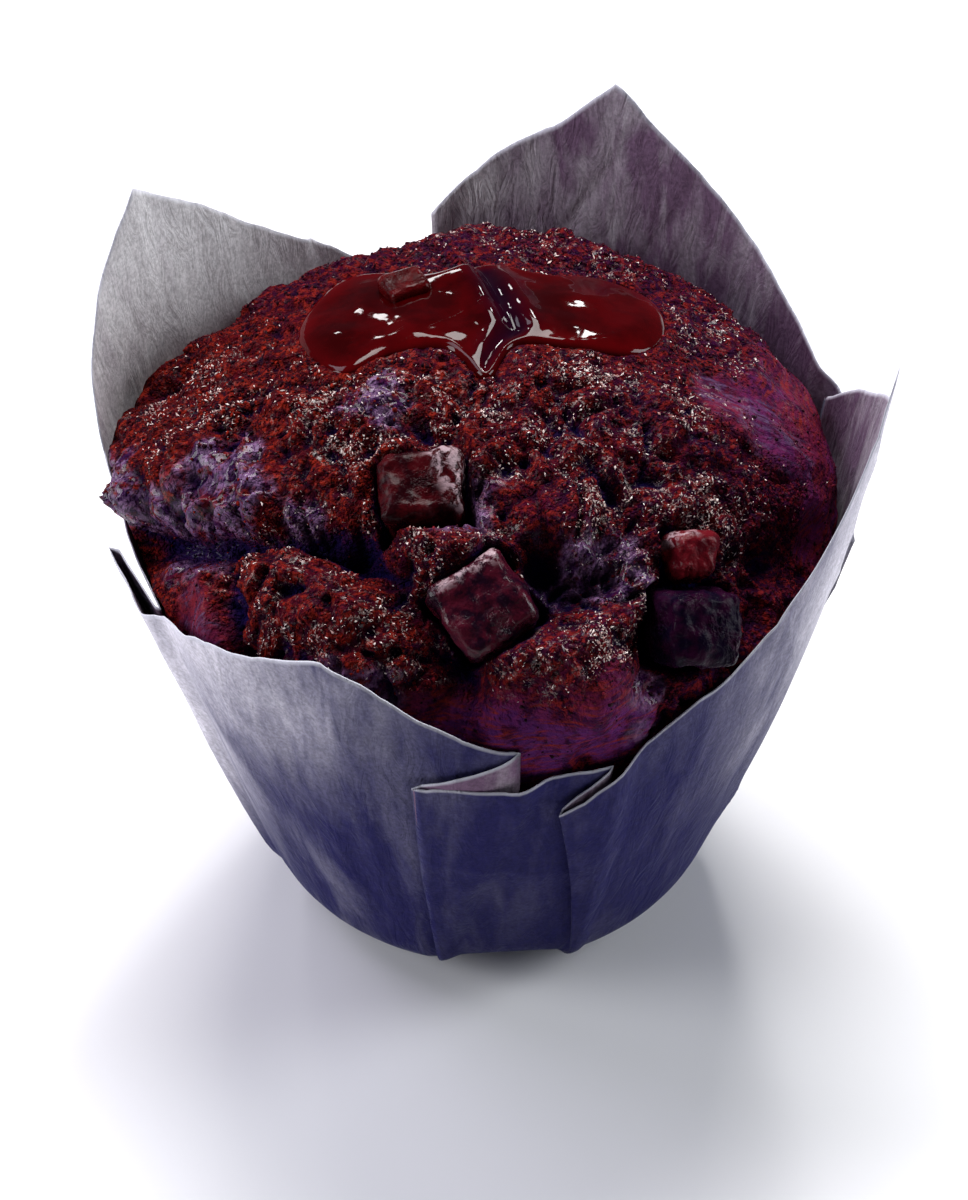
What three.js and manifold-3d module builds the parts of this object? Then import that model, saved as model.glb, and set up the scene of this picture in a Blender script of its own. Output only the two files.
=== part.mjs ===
// Chocolate muffin baked in a folded tulip paper case, with a small pool of sauce and chocolate chunks on top.
// Millimetres, +Z up, the front faces -Y, the origin is the centre of the flat base on the floor.

import * as THREE from 'three';
import { mergeVertices } from 'three/addons/utils/BufferGeometryUtils.js';
import Module from 'manifold-3d';

const DEG = Math.PI / 180;

// Paper and clearance
const PAPER = 0.4;
const GAP = 0.3;

// Wall of the case: a cone that steepens above FLARE_Z
const WALL_R0 = 22.6;
const LOWER_FLARE = 0.345;
const UPPER_FLARE = 0.17;
const FLARE_Z = 40;
const FLARE_BLEND = 6;
const BASE_ROUND = 12;

// Dome of the muffin
const CROWN_Z = 49.3;
const DOME_RISE = 21.6;
const RELIEF_FROM_Z = 44;
const RELIEF_FULL_Z = 52;

// Resolution of the meshes
const STEP_DEG = 5.2;
const WALL_LEVELS = 8;
const CRUMB_SIDES = 66;
const DOME_RINGS = 21;
const SIDE_RINGS = 6;

// Pleats, all folded the same way. Azimuths in degrees of the outer crease and of the hidden inner fold
// at the rim, of both at the floor, and how far the crease stands off the wall at the rim.
const PLEATS = [
  { creaseRim: -3, foldRim: 18, floor: 2, stand: 1.8 },
  { creaseRim: 86, foldRim: 97.6, floor: 92, stand: 1.6 },
  { creaseRim: 192, foldRim: 205, floor: 196, stand: 1.7 },
  { creaseRim: 258.4, foldRim: 274.7, floor: 255.3, stand: 1.3 },
  { creaseRim: 280, foldRim: 289.5, floor: 290.8, stand: 1.4 },
];
const PLEAT_FULL_Z = 44;
const FLOOR_SPREAD = 2;
const STAND_LOW = 0.7;
const RELAX_DEG = 5.5;

// Cut edge of each panel, from its outer crease to its inner fold: azimuth and height of the rim
const PANEL_RIMS = [
  [[-3, 46.5], [18, 54.4], [34, 60], [45, 64.6], [58, 70.8], [69.2, 76.2], [77, 70.8], [86.5, 66.5], [97.6, 59.8]],
  [[86, 52], [110.9, 55.7], [118.6, 59.6], [129, 64.9], [136, 69.2], [148.7, 76.2], [157, 71.4],
    [164, 67.5], [170, 62.5], [176, 56], [184, 52], [205, 50]],
  [[192, 52.8], [204, 50.4], [224, 56.5], [234, 58.5], [246.2, 62], [252, 60.2], [259.5, 55.6],
    [267.3, 52.4], [274.7, 50]],
  [[258.4, 45.6], [272, 45.6], [289.5, 45.8]],
  [[280, 40.6], [289.2, 44.8], [295.4, 48], [303.6, 51.4], [311, 53.2], [320, 57], [330, 64.5], [338, 71.5],
    [343.5, 77.5], [349, 70.5], [368.5, 60.5], [378, 54.5]],
];

// Sauce
const SAUCE_CENTRE = [0.4, 7];
const SAUCE_OUTLINE = [
  [19.2, 6.8], [18.2, 12.4], [12.7, 15.4], [6.9, 15], [1.1, 17], [-4.2, 15], [-13.2, 18], [-17.8, 13], [-19, 6],
  [-14.6, -1], [-9.2, 0.8], [-3.6, 0.4], [0.4, -4.6], [3.6, 0.6], [9, 0.9], [15.8, 1.6],
];
const SAUCE_DEPTH = 1.5;
const SAUCE_RISE = 0.7;
const SAUCE_SIDES = 44;
const SAUCE_RINGS = 4;

// Chocolate chunks: place on the dome seen from above, size, turn about the dome's normal, lean, standing height
const CHUNKS = [
  { name: 'chunk_upper', at: [-6.2, -17.8], size: [8.8, 7.2, 7], turn: 3, lean: 8, rise: 0, seed: 1 },
  { name: 'chunk_middle', at: [-0.2, -29.4], size: [9, 8.6, 8], turn: 33, lean: 4, rise: 0.2, seed: 2 },
  { name: 'chunk_right', at: [21, -28], size: [8.8, 7.4, 7.4], turn: 12, lean: 4, rise: 0.9, seed: 3 },
  { name: 'chunk_small', at: [19.8, -22], size: [6, 4.6, 4.6], turn: 10, lean: 4, rise: 0, seed: 4 },
];
const CHUNK_ROUND = 1;
const SAUCE_CHUNK = { name: 'chunk_in_sauce', at: [-7.7, 11.6], size: [5, 4.4, 4], turn: 20, lean: 10, rise: 0.3, seed: 5 };

// Lobes of the crust: centre, height and spread
const LOBES = [
  [-39, 1, 55, 4.2, 5.5], [-33, 14, 58, 1.8, 5], [-27, -6, 64, 1.6, 5], [-25, -24, 57, 1.6, 4.5],
  [-18, -28, 58, 2.4, 5], [-10, -31, 59, 1.6, 4.5], [11, -33, 57, 2.2, 4.5], [5, -35, 56, 1, 5],
  [3, 31, 62, 2.4, 5], [-17, 26, 61, 1, 8], [20, 25, 61, 0.5, 7], [-6, -24.5, 65.5, 0.8, 3],
  [28, -24, 57, 1.2, 4], [22, -10, 66, 0.8, 7], [8, -15, 69, 0.8, 6],
];

// Cracks of the crust: run of points, depth and spread
const CRACKS = [
  { run: [[-36, -8, 53], [-27, -16, 61], [-19, -18.5, 64.6], [-14, -21, 65]], depth: 4.2, spread: 2.3 },
  { run: [[-14, -21, 65], [-9, -26, 64], [-5, -33, 59], [-1, -35, 56]], depth: 3.2, spread: 2.1 },
  { run: [[5, -24, 65], [9, -28, 62.5], [14, -26, 62.5], [17, -28, 60]], depth: 3, spread: 2.2 },
  { run: [[-21.5, -23, 60], [-21, -30, 55]], depth: 1.8, spread: 1.6 },
  { run: [[30, -19, 57], [34, -12, 54]], depth: 2.4, spread: 2.6 },
  { run: [[-30, 22, 56], [-22, 26, 60]], depth: 1.4, spread: 2 },
];

const MATERIALS = {
  crumb: { color: 0x4a1a26, roughness: 0.75, metalness: 0 },
  paper: { color: 0x46445f, roughness: 0.85, metalness: 0 },
  sauce: { color: 0x4a0408, roughness: 0.12, metalness: 0 },
  chunk: { color: 0x280a12, roughness: 0.4, metalness: 0 },
};

function lerp(a, b, t) {
  return a + (b - a) * t;
}

function smooth(t) {
  const c = Math.min(1, Math.max(0, t));
  return c * c * (3 - 2 * c);
}

function bell(distance, spread) {
  return Math.exp(-0.5 * (distance / spread) ** 2);
}

function degreesApart(a, b) {
  return Math.abs(((a - b + 540) % 360 + 360) % 360 - 180);
}

// Smooth noise between -1 and 1, the same every time
function latticeValue(i, j, k) {
  const s = Math.sin(i * 127.1 + j * 311.7 + k * 74.7) * 43758.5453;
  return 2 * (s - Math.floor(s)) - 1;
}

function noise(x, y, z) {
  const [i, j, k] = [Math.floor(x), Math.floor(y), Math.floor(z)];
  const [u, v, w] = [smooth(x - i), smooth(y - j), smooth(z - k)];
  const row = (dj, dk) => lerp(latticeValue(i, j + dj, k + dk), latticeValue(i + 1, j + dj, k + dk), u);
  return lerp(lerp(row(0, 0), row(1, 0), v), lerp(row(0, 1), row(1, 1), v), w);
}

// Profile of the case's middle surface

function wallRadius(z) {
  const bend = FLARE_BLEND * Math.log1p(Math.exp((z - FLARE_Z) / FLARE_BLEND));
  return WALL_R0 + LOWER_FLARE * z + (UPPER_FLARE - LOWER_FLARE) * bend;
}

function wallSlope(z) {
  const bend = 1 / (1 + Math.exp(-(z - FLARE_Z) / FLARE_BLEND));
  return LOWER_FLARE + (UPPER_FLARE - LOWER_FLARE) * bend;
}

const FLOOR_Z = PAPER / 2;
const ROUND_TURN = Math.atan2(1, LOWER_FLARE);
const ROUND_LENGTH = BASE_ROUND * ROUND_TURN;
const ROUND_TOP = FLOOR_Z + BASE_ROUND * (1 - Math.cos(ROUND_TURN));
const FLAT_RADIUS = wallRadius(ROUND_TOP) - BASE_ROUND * Math.sin(ROUND_TURN);

// Point and outward normal at a station: below 0 on the flat base, then round its edge, then up the wall
function profile(station) {
  if (station <= 0) {
    return { r: FLAT_RADIUS + station, z: FLOOR_Z, nr: 0, nz: -1 };
  }
  if (station < ROUND_LENGTH) {
    const turn = station / BASE_ROUND;
    const r = FLAT_RADIUS + BASE_ROUND * Math.sin(turn);
    const z = FLOOR_Z + BASE_ROUND * (1 - Math.cos(turn));
    return { r, z, nr: Math.sin(turn), nz: -Math.cos(turn) };
  }
  const z = ROUND_TOP + station - ROUND_LENGTH;
  const slope = wallSlope(z);
  const length = Math.hypot(1, slope);
  return { r: wallRadius(z), z, nr: 1 / length, nz: -slope / length };
}

function stationAt(z) {
  return ROUND_LENGTH + z - ROUND_TOP;
}

// The left lobe pushes the case out, beside it the case draws in, and the front is flat near the floor
function swell(azimuth, z) {
  const pushed = 1.6 * bell(degreesApart(azimuth, 168), 12) * bell(z - 59, 8);
  const drawn = 1.5 * bell(degreesApart(azimuth, 196), 14) * bell(z - 40, 12);
  const chord = degreesApart(azimuth, 273);
  const flat = 1.1 * Math.max(0, 1 - (chord / 20) ** 2) * (1 - smooth((z - 4) / 30));
  return pushed - drawn - flat * smooth(z / 3);
}

function onWall(azimuth, station, offset) {
  const { r, z, nr, nz } = profile(station);
  const out = offset + swell(azimuth, z);
  const radius = r + nr * out;
  return [radius * Math.cos(azimuth * DEG), radius * Math.sin(azimuth * DEG), z + nz * out];
}

// Height above the floor that a station has, used for how far the pleats have opened
function opening(station) {
  return Math.min(1, profile(station).z / PLEAT_FULL_Z);
}

function standOf(pleat, station) {
  const lift = lerp(STAND_LOW, pleat.stand, opening(station));
  return lift * smooth(station / ROUND_LENGTH);
}

function creaseAt(pleat, station) {
  return lerp(pleat.floor + FLOOR_SPREAD / 2, pleat.creaseRim, opening(station));
}

function foldAt(pleat, station) {
  return lerp(pleat.floor - FLOOR_SPREAD / 2, pleat.foldRim, opening(station));
}

// Petals lean out a little and wave near their tips
function petalLean(azimuth, z) {
  const high = smooth((z - 56) / 22);
  return 0.3 * high * (1 + 0.8 * Math.sin(azimuth * 5 * DEG));
}

// One vertex of the folded path round the case: where it lies on a panel, or halfway along a hidden layer
function caseVertices() {
  const vertices = [];
  PANEL_RIMS.forEach((rim, index) => {
    const start = PLEATS[index];
    const wraps = index === PLEATS.length - 1;
    const end = PLEATS[wraps ? 0 : index + 1];
    const turn = wraps ? 360 : 0;
    const first = rim[0][0];
    const last = rim[rim.length - 1][0];
    rim.slice(0, -1).forEach(([azimuth, height], stop) => {
      const [nextAzimuth, nextHeight] = rim[stop + 1];
      const parts = Math.max(1, Math.ceil((nextAzimuth - azimuth) / STEP_DEG));
      for (let part = 0; part < parts; part += 1) {
        const t = part / parts;
        const along = (lerp(azimuth, nextAzimuth, t) - first) / (last - first);
        vertices.push({ start, end, turn, along, rim: lerp(height, nextHeight, t) });
      }
    });
    const foot = rim[rim.length - 1][1];
    const next = PANEL_RIMS[wraps ? 0 : index + 1][0][1];
    vertices.push({ start, end, turn, along: 1, rim: foot });
    vertices.push({ layerOf: end, turn, rim: (foot + next) / 2 });
  });
  return vertices;
}

// Azimuth in degrees and stand-off in mm of a path vertex at a station
function planOf(vertex, station) {
  if (vertex.layerOf) {
    const { layerOf: pleat, turn } = vertex;
    const azimuth = (creaseAt(pleat, station) + foldAt(pleat, station)) / 2 + turn;
    return { azimuth, off: standOf(pleat, station) / 2 };
  }
  const crease = creaseAt(vertex.start, station);
  const fold = foldAt(vertex.end, station) + vertex.turn;
  const azimuth = lerp(crease, fold, vertex.along);
  const passed = azimuth - Math.max(foldAt(vertex.start, station), crease);
  const off = standOf(vertex.start, station) * (1 - smooth(passed / RELAX_DEG));
  return { azimuth, off };
}

// Azimuth and stand-off moved half a paper thickness to one side of the folded path, mitred at each fold
function sidePoint(vertices, index, station, side) {
  const count = vertices.length;
  const plans = [-1, 0, 1].map((step) => {
    const at = index + step;
    const { azimuth, off } = planOf(vertices[(at + count) % count], station);
    const turn = at < 0 ? -360 : at >= count ? 360 : 0;
    return { azimuth: azimuth + turn, off };
  });
  const arc = Math.max(profile(station).r, 1) * DEG;
  const [before, here, after] = plans;
  const inX = (here.azimuth - before.azimuth) * arc;
  const inY = here.off - before.off;
  const outX = (after.azimuth - here.azimuth) * arc;
  const outY = after.off - here.off;
  const inLength = Math.hypot(inX, inY);
  const outLength = Math.hypot(outX, outY);
  let mx = -inY / inLength - outY / outLength;
  let my = inX / inLength + outX / outLength;
  const cross = inX * outY - inY * outX;
  const size = Math.hypot(mx, my);
  mx /= size;
  my /= size;
  const spread = size / 2;
  const half = PAPER / 2;
  const concave = cross * side > 0;
  const longest = concave ? 0.95 * Math.min(inLength, outLength) : 1.5 * half;
  const reach = Math.min(half / spread, Math.max(longest, half));
  return { azimuth: here.azimuth + (side * mx * reach) / arc, off: here.off + side * my * reach };
}

function caseStations(rim) {
  const stations = [-FLAT_RADIUS * 0.5, 0, ROUND_LENGTH / 3, (ROUND_LENGTH * 2) / 3, ROUND_LENGTH];
  const top = stationAt(rim);
  for (let level = 1; level <= WALL_LEVELS; level += 1) {
    stations.push(lerp(ROUND_LENGTH, top, level / WALL_LEVELS));
  }
  return stations;
}

function gridFaces(rows, columns, rowStart, flip) {
  const faces = [];
  for (let row = 0; row < rows - 1; row += 1) {
    for (let column = 0; column < columns; column += 1) {
      const next = (column + 1) % columns;
      const a = rowStart + row * columns + column;
      const b = rowStart + row * columns + next;
      const c = a + columns;
      const d = b + columns;
      if (flip) {
        faces.push(a, c, b, b, c, d);
      } else {
        faces.push(a, b, c, b, d, c);
      }
    }
  }
  return faces;
}

function fanFaces(centre, rowStart, columns, flip) {
  const faces = [];
  for (let column = 0; column < columns; column += 1) {
    const next = (column + 1) % columns;
    if (flip) {
      faces.push(centre, rowStart + next, rowStart + column);
    } else {
      faces.push(centre, rowStart + column, rowStart + next);
    }
  }
  return faces;
}

function closedGeometry(points, faces) {
  const geometry = new THREE.BufferGeometry();
  geometry.setAttribute('position', new THREE.Float32BufferAttribute(points.flat(), 3));
  geometry.setIndex(faces);
  return geometry;
}

// Paper case: one folded sheet, its outer side, its inner side and the cut edge between them
function paperCase() {
  const vertices = caseVertices();
  const columns = vertices.length;
  const stations = vertices.map((vertex) => caseStations(vertex.rim));
  const rows = stations[0].length;
  const points = [];
  for (const side of [1, -1]) {
    for (let row = 0; row < rows; row += 1) {
      for (let column = 0; column < columns; column += 1) {
        const station = stations[column][row];
        const { azimuth, off } = sidePoint(vertices, column, station, side);
        const lean = petalLean(azimuth, profile(station).z);
        points.push(onWall(azimuth, station, off + lean));
      }
    }
  }
  const inner = rows * columns;
  const outerPole = points.push([0, 0, 0]) - 1;
  const innerPole = points.push([0, 0, PAPER]) - 1;
  const faces = gridFaces(rows, columns, 0, false);
  faces.push(...gridFaces(rows, columns, inner, true));
  faces.push(...fanFaces(outerPole, 0, columns, true));
  faces.push(...fanFaces(innerPole, inner, columns, false));
  const lastOuter = (rows - 1) * columns;
  const lastInner = inner + lastOuter;
  for (let column = 0; column < columns; column += 1) {
    const next = (column + 1) % columns;
    faces.push(lastOuter + column, lastOuter + next, lastInner + column);
    faces.push(lastOuter + next, lastInner + next, lastInner + column);
  }
  return closedGeometry(points, faces);
}

// Dome of the muffin before its relief

const CRUMB_OFF = -(PAPER / 2 + GAP);
const CROWN_R = wallRadius(CROWN_Z) + CRUMB_OFF;

function domeHeight(radius) {
  const t = Math.min(1, radius / CROWN_R);
  return CROWN_Z + DOME_RISE * Math.sqrt(1 - t * t);
}

function domeNormal(x, y) {
  const z = domeHeight(Math.hypot(x, y)) - CROWN_Z;
  return new THREE.Vector3(x / CROWN_R ** 2, y / CROWN_R ** 2, Math.max(z, 0.1) / DOME_RISE ** 2).normalize();
}

function onDome(x, y, lift) {
  const normal = domeNormal(x, y);
  return new THREE.Vector3(x, y, domeHeight(Math.hypot(x, y))).addScaledVector(normal, lift);
}

function runDistance(point, run) {
  let best = Infinity;
  const start = new THREE.Vector3();
  const end = new THREE.Vector3();
  const near = new THREE.Vector3();
  for (let leg = 0; leg < run.length - 1; leg += 1) {
    start.set(...run[leg]);
    end.set(...run[leg + 1]);
    new THREE.Line3(start, end).closestPointToPoint(point, true, near);
    best = Math.min(best, near.distanceTo(point));
  }
  return best;
}

// Height of the crust over the plain dome
function relief(point) {
  let height = 0;
  const centre = new THREE.Vector3();
  for (const [x, y, z, rise, spread] of LOBES) {
    height += rise * bell(centre.set(x, y, z).distanceTo(point), spread);
  }
  for (const { run, depth, spread } of CRACKS) {
    height -= depth * bell(runDistance(point, run), spread);
  }
  height += 0.9 * noise(point.x / 5, point.y / 5, point.z / 5);
  height += 0.45 * noise(point.x / 2.6 + 9, point.y / 2.6, point.z / 2.6);
  const fromSauce = Math.hypot((point.x - SAUCE_CENTRE[0]) / 21, (point.y - SAUCE_CENTRE[1]) / 12);
  const calm = 1 - smooth((1.25 - fromSauce) / 0.5);
  return height * calm * smooth((point.z - RELIEF_FROM_Z) / (RELIEF_FULL_Z - RELIEF_FROM_Z));
}

// Height of the paper that stands at an azimuth
function paperTop(azimuth) {
  let top = 0;
  for (const rim of PANEL_RIMS) {
    for (let stop = 0; stop < rim.length - 1; stop += 1) {
      const [from, low] = rim[stop];
      const [to, high] = rim[stop + 1];
      const along = ((azimuth - from + 720) % 360) / (to - from);
      if (along <= 1) {
        top = Math.max(top, lerp(low, high, along));
      }
    }
  }
  return top;
}

// Keeps a point of the crust inside the paper where paper stands beside it
function heldByCase(point) {
  const azimuth = Math.atan2(point.y, point.x) / DEG;
  if (point.z > paperTop(azimuth) + 2.6) {
    return point;
  }
  const limit = wallRadius(point.z) + CRUMB_OFF + swell(azimuth, point.z);
  const radius = Math.hypot(point.x, point.y);
  if (radius > limit) {
    point.x *= limit / radius;
    point.y *= limit / radius;
  }
  return point;
}

// Body of the muffin: rings from the top of the dome down to the middle of the base
function crumbBody() {
  const points = [];
  const top = onDome(0, 0, 0);
  for (let ring = 1; ring <= DOME_RINGS; ring += 1) {
    const turn = (ring / DOME_RINGS) * 90 * DEG;
    for (let side = 0; side < CRUMB_SIDES; side += 1) {
      const angle = ((side + (ring % 2) / 2) / CRUMB_SIDES) * 360 * DEG;
      const x = CROWN_R * Math.sin(turn) * Math.cos(angle);
      const y = CROWN_R * Math.sin(turn) * Math.sin(angle);
      const plain = onDome(x, y, 0);
      const raised = plain.clone().addScaledVector(domeNormal(x, y), relief(plain));
      points.push(heldByCase(raised).toArray());
    }
  }
  const stations = [];
  for (let ring = 1; ring <= SIDE_RINGS; ring += 1) {
    stations.push(stationAt(lerp(CROWN_Z, ROUND_TOP, ring / SIDE_RINGS)));
  }
  stations.push((ROUND_LENGTH * 2) / 3, ROUND_LENGTH / 3, 0);
  stations.forEach((station, ring) => {
    const shift = ((DOME_RINGS + 1 + ring) % 2) / 2;
    for (let side = 0; side < CRUMB_SIDES; side += 1) {
      points.push(onWall(((side + shift) / CRUMB_SIDES) * 360, station, CRUMB_OFF));
    }
  });
  const rows = points.length / CRUMB_SIDES;
  const topPole = points.push(top.toArray()) - 1;
  const basePole = points.push([0, 0, FLOOR_Z - CRUMB_OFF]) - 1;
  const faces = staggeredFaces(rows, CRUMB_SIDES);
  faces.push(...fanFaces(topPole, 0, CRUMB_SIDES, false));
  faces.push(...fanFaces(basePole, (rows - 1) * CRUMB_SIDES, CRUMB_SIDES, true));
  return closedGeometry(points, faces);
}

// Faces between rings that are turned half a step against each other, rings running downward
function staggeredFaces(rows, columns) {
  const faces = [];
  for (let row = 0; row < rows - 1; row += 1) {
    const ahead = (row + 1) % 2;
    for (let column = 0; column < columns; column += 1) {
      const next = (column + 1) % columns;
      const a = row * columns + column;
      const b = row * columns + next;
      const c = (row + 1) * columns + column;
      const d = (row + 1) * columns + next;
      if (ahead) {
        faces.push(a, d, b, a, c, d);
      } else {
        faces.push(a, c, b, b, c, d);
      }
    }
  }
  return faces;
}

// Distance from the sauce's centre to its edge in a direction, along a smooth closed curve
const sauceCurve = new THREE.CatmullRomCurve3(
  SAUCE_OUTLINE.map(([x, y]) => new THREE.Vector3(x, y, 0)),
  true,
  'centripetal',
);

// Closed pool of sauce that follows the dome; grown for the pocket that holds it
function sauceSolid(grow, topRise) {
  const rim = sauceCurve.getSpacedPoints(SAUCE_SIDES).slice(0, SAUCE_SIDES);
  const points = [];
  for (const face of [1, -1]) {
    for (let ring = 1; ring <= SAUCE_RINGS; ring += 1) {
      const t = Math.sin((ring / SAUCE_RINGS) * 90 * DEG);
      for (const edge of rim) {
        const dx = edge.x - SAUCE_CENTRE[0];
        const dy = edge.y - SAUCE_CENTRE[1];
        const scale = t * (1 + grow / Math.hypot(dx, dy));
        const bulge = Math.sqrt(Math.max(0, 1 - t ** 4));
        const lift = face > 0 ? topRise * bulge + grow : -SAUCE_DEPTH * bulge - grow;
        if (face < 0 && ring === SAUCE_RINGS) {
          continue;
        }
        const lifted = ring === SAUCE_RINGS ? (grow > 0 ? lift : 0) : lift;
        points.push(onDome(SAUCE_CENTRE[0] + dx * scale, SAUCE_CENTRE[1] + dy * scale, lifted).toArray());
      }
    }
  }
  const columns = SAUCE_SIDES;
  const topPole = points.push(onDome(...SAUCE_CENTRE, topRise + grow).toArray()) - 1;
  const lowPole = points.push(onDome(...SAUCE_CENTRE, -SAUCE_DEPTH - grow).toArray()) - 1;
  const faces = gridFaces(SAUCE_RINGS, columns, 0, true);
  faces.push(...fanFaces(topPole, 0, columns, false));
  const lower = SAUCE_RINGS * columns;
  faces.push(...gridFaces(SAUCE_RINGS - 1, columns, lower, false));
  faces.push(...fanFaces(lowPole, lower, columns, true));
  const edgeRow = (SAUCE_RINGS - 1) * columns;
  const lastLower = lower + (SAUCE_RINGS - 2) * columns;
  for (let column = 0; column < columns; column += 1) {
    const next = (column + 1) % columns;
    faces.push(edgeRow + column, lastLower + column, edgeRow + next);
    faces.push(edgeRow + next, lastLower + column, lastLower + next);
  }
  return closedGeometry(points, faces);
}

// Chocolate chunk: a box with worn edges, sunk into the dome
function chunkSolid({ at, size, turn, lean, rise, seed }, grow) {
  const half = size.map((length) => length / 2 + grow);
  const box = new THREE.BoxGeometry(2 * half[0], 2 * half[1], 2 * half[2], 3, 3, 3);
  const core = half.map((length) => length - CHUNK_ROUND - grow);
  const position = box.attributes.position;
  const point = new THREE.Vector3();
  const inner = new THREE.Vector3();
  for (let index = 0; index < position.count; index += 1) {
    point.fromBufferAttribute(position, index);
    inner.set(...core.map((limit, axis) => Math.min(limit, Math.max(-limit, point.getComponent(axis)))));
    const out = point.clone().sub(inner).normalize();
    const wear = 1 + 0.05 * noise(inner.x / 3 + seed * 7, inner.y / 3, inner.z / 3);
    inner.multiplyScalar(wear).addScaledVector(out, CHUNK_ROUND + grow);
    position.setXYZ(index, ...inner.toArray());
  }
  const normal = domeNormal(...at);
  const upright = new THREE.Quaternion().setFromUnitVectors(new THREE.Vector3(0, 0, 1), normal);
  const spin = new THREE.Quaternion().setFromAxisAngle(new THREE.Vector3(0, 0, 1), turn * DEG);
  const tip = new THREE.Quaternion().setFromAxisAngle(new THREE.Vector3(1, 0, 0), lean * DEG);
  box.applyQuaternion(upright.multiply(tip).multiply(spin));
  box.translate(...onDome(...at, rise - size[2] / 2 + 2).toArray());
  return box;
}

const wasm = await Module();
wasm.setup();

function toManifold(geometry) {
  const bare = geometry.clone();
  bare.deleteAttribute('normal');
  bare.deleteAttribute('uv');
  const welded = mergeVertices(bare, 1e-4);
  return new wasm.Manifold(new wasm.Mesh({
    numProp: 3,
    vertProperties: new Float32Array(welded.attributes.position.array),
    triVerts: new Uint32Array(welded.index.array),
  }));
}

function toGeometry(solid) {
  const mesh = solid.getMesh();
  const geometry = new THREE.BufferGeometry();
  geometry.setAttribute('position', new THREE.BufferAttribute(mesh.vertProperties, 3));
  geometry.setIndex(new THREE.BufferAttribute(mesh.triVerts, 1));
  return geometry;
}

function addNode(group, name, geometry, look) {
  geometry.computeVertexNormals();
  const material = new THREE.MeshStandardMaterial(MATERIALS[look]);
  const mesh = new THREE.Mesh(geometry, material);
  mesh.name = name;
  group.add(mesh);
}

const group = new THREE.Group();
group.name = 'chocolate_muffin';

let crumb = toManifold(crumbBody());
let sauce = toManifold(sauceSolid(0, SAUCE_RISE));
crumb = crumb.subtract(toManifold(sauceSolid(GAP, SAUCE_RISE + 2)));
for (const chunk of CHUNKS) {
  crumb = crumb.subtract(toManifold(chunkSolid(chunk, GAP)));
}
const sunk = toManifold(chunkSolid(SAUCE_CHUNK, GAP));
crumb = crumb.subtract(sunk);
sauce = sauce.subtract(sunk);

addNode(group, 'muffin_crumb', toGeometry(crumb), 'crumb');
addNode(group, 'paper_case', paperCase(), 'paper');
addNode(group, 'sauce_pool', toGeometry(sauce), 'sauce');
for (const chunk of [...CHUNKS, SAUCE_CHUNK]) {
  addNode(group, chunk.name, toGeometry(toManifold(chunkSolid(chunk, 0))), 'chunk');
}

export default group;
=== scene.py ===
"""Dressed model of a chocolate muffin baked in a folded tulip paper case.

Every size below is in millimetres, in the same frame as the solids: the origin is the centre of the flat
base on the floor, +Z is up and the front faces -Y. Meshes are scaled to metres when they are made.
"""

import logging
import math
from dataclasses import dataclass, field
from enum import Enum
from typing import Dict, List, Optional, Sequence, Tuple

import bmesh
import bpy
import numpy as np
from mathutils import Matrix, Vector

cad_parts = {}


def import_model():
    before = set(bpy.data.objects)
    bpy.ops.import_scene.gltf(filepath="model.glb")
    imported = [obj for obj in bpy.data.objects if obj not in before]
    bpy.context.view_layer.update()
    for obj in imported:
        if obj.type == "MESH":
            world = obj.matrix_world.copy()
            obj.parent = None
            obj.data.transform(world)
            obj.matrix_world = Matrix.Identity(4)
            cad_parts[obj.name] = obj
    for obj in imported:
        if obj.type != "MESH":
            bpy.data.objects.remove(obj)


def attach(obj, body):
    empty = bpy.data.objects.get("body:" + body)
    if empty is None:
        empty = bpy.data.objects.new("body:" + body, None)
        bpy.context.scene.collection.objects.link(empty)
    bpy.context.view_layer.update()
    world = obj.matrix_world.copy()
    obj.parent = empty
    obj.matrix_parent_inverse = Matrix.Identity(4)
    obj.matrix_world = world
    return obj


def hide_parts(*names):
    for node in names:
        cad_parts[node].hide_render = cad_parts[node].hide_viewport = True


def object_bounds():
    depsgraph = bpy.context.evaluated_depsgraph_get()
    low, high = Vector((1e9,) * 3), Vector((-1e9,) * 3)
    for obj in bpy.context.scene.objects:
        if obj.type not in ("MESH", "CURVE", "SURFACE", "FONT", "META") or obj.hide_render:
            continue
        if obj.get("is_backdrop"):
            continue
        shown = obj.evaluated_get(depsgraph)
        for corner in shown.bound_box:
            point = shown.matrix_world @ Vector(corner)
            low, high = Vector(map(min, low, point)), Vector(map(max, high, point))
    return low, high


LOG = logging.getLogger("muffin")
MM = 0.001
Colour = Tuple[float, float, float]
Point = Tuple[float, float, float]
Array = np.ndarray
Socket = bpy.types.NodeSocket
Node = bpy.types.Node
Piece = bpy.types.Object
Line = Tuple[Tuple[float, float], ...]
Spot = Tuple[float, ...]
WELD_MM = 0.002
TINY = 1e-9
FAR = 1e9
HASH_AXES = np.array([127.1, 311.7, 74.7])
HASH_GAIN = 43758.5453


class Slot(Enum):
    """Material slots of the record; each piece is passed one."""

    CRUMB = "crumb"
    PAPER = "paper"
    SAUCE = "sauce"
    CHUNK = "chunk"


# Arithmetic shared by the pieces


def smooth(t: Array) -> Array:
    """Eases t from 0 to 1 and holds it beyond."""
    c = np.clip(t, 0.0, 1.0)
    return c * c * (3.0 - 2.0 * c)


def bell(distance: Array, spread: float) -> Array:
    """Bell curve of a distance, 1 at 0."""
    return np.exp(-0.5 * (distance / spread) ** 2)


def degrees_apart(a: Array, b: float) -> Array:
    """Angle between azimuths in degrees, 0 to 180."""
    return np.abs((a - b + 180.0) % 360.0 - 180.0)


def unit_rows(vectors: Array) -> Array:
    """Rows scaled to length 1."""
    return vectors / np.maximum(np.linalg.norm(vectors, axis=1, keepdims=True), TINY)


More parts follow.
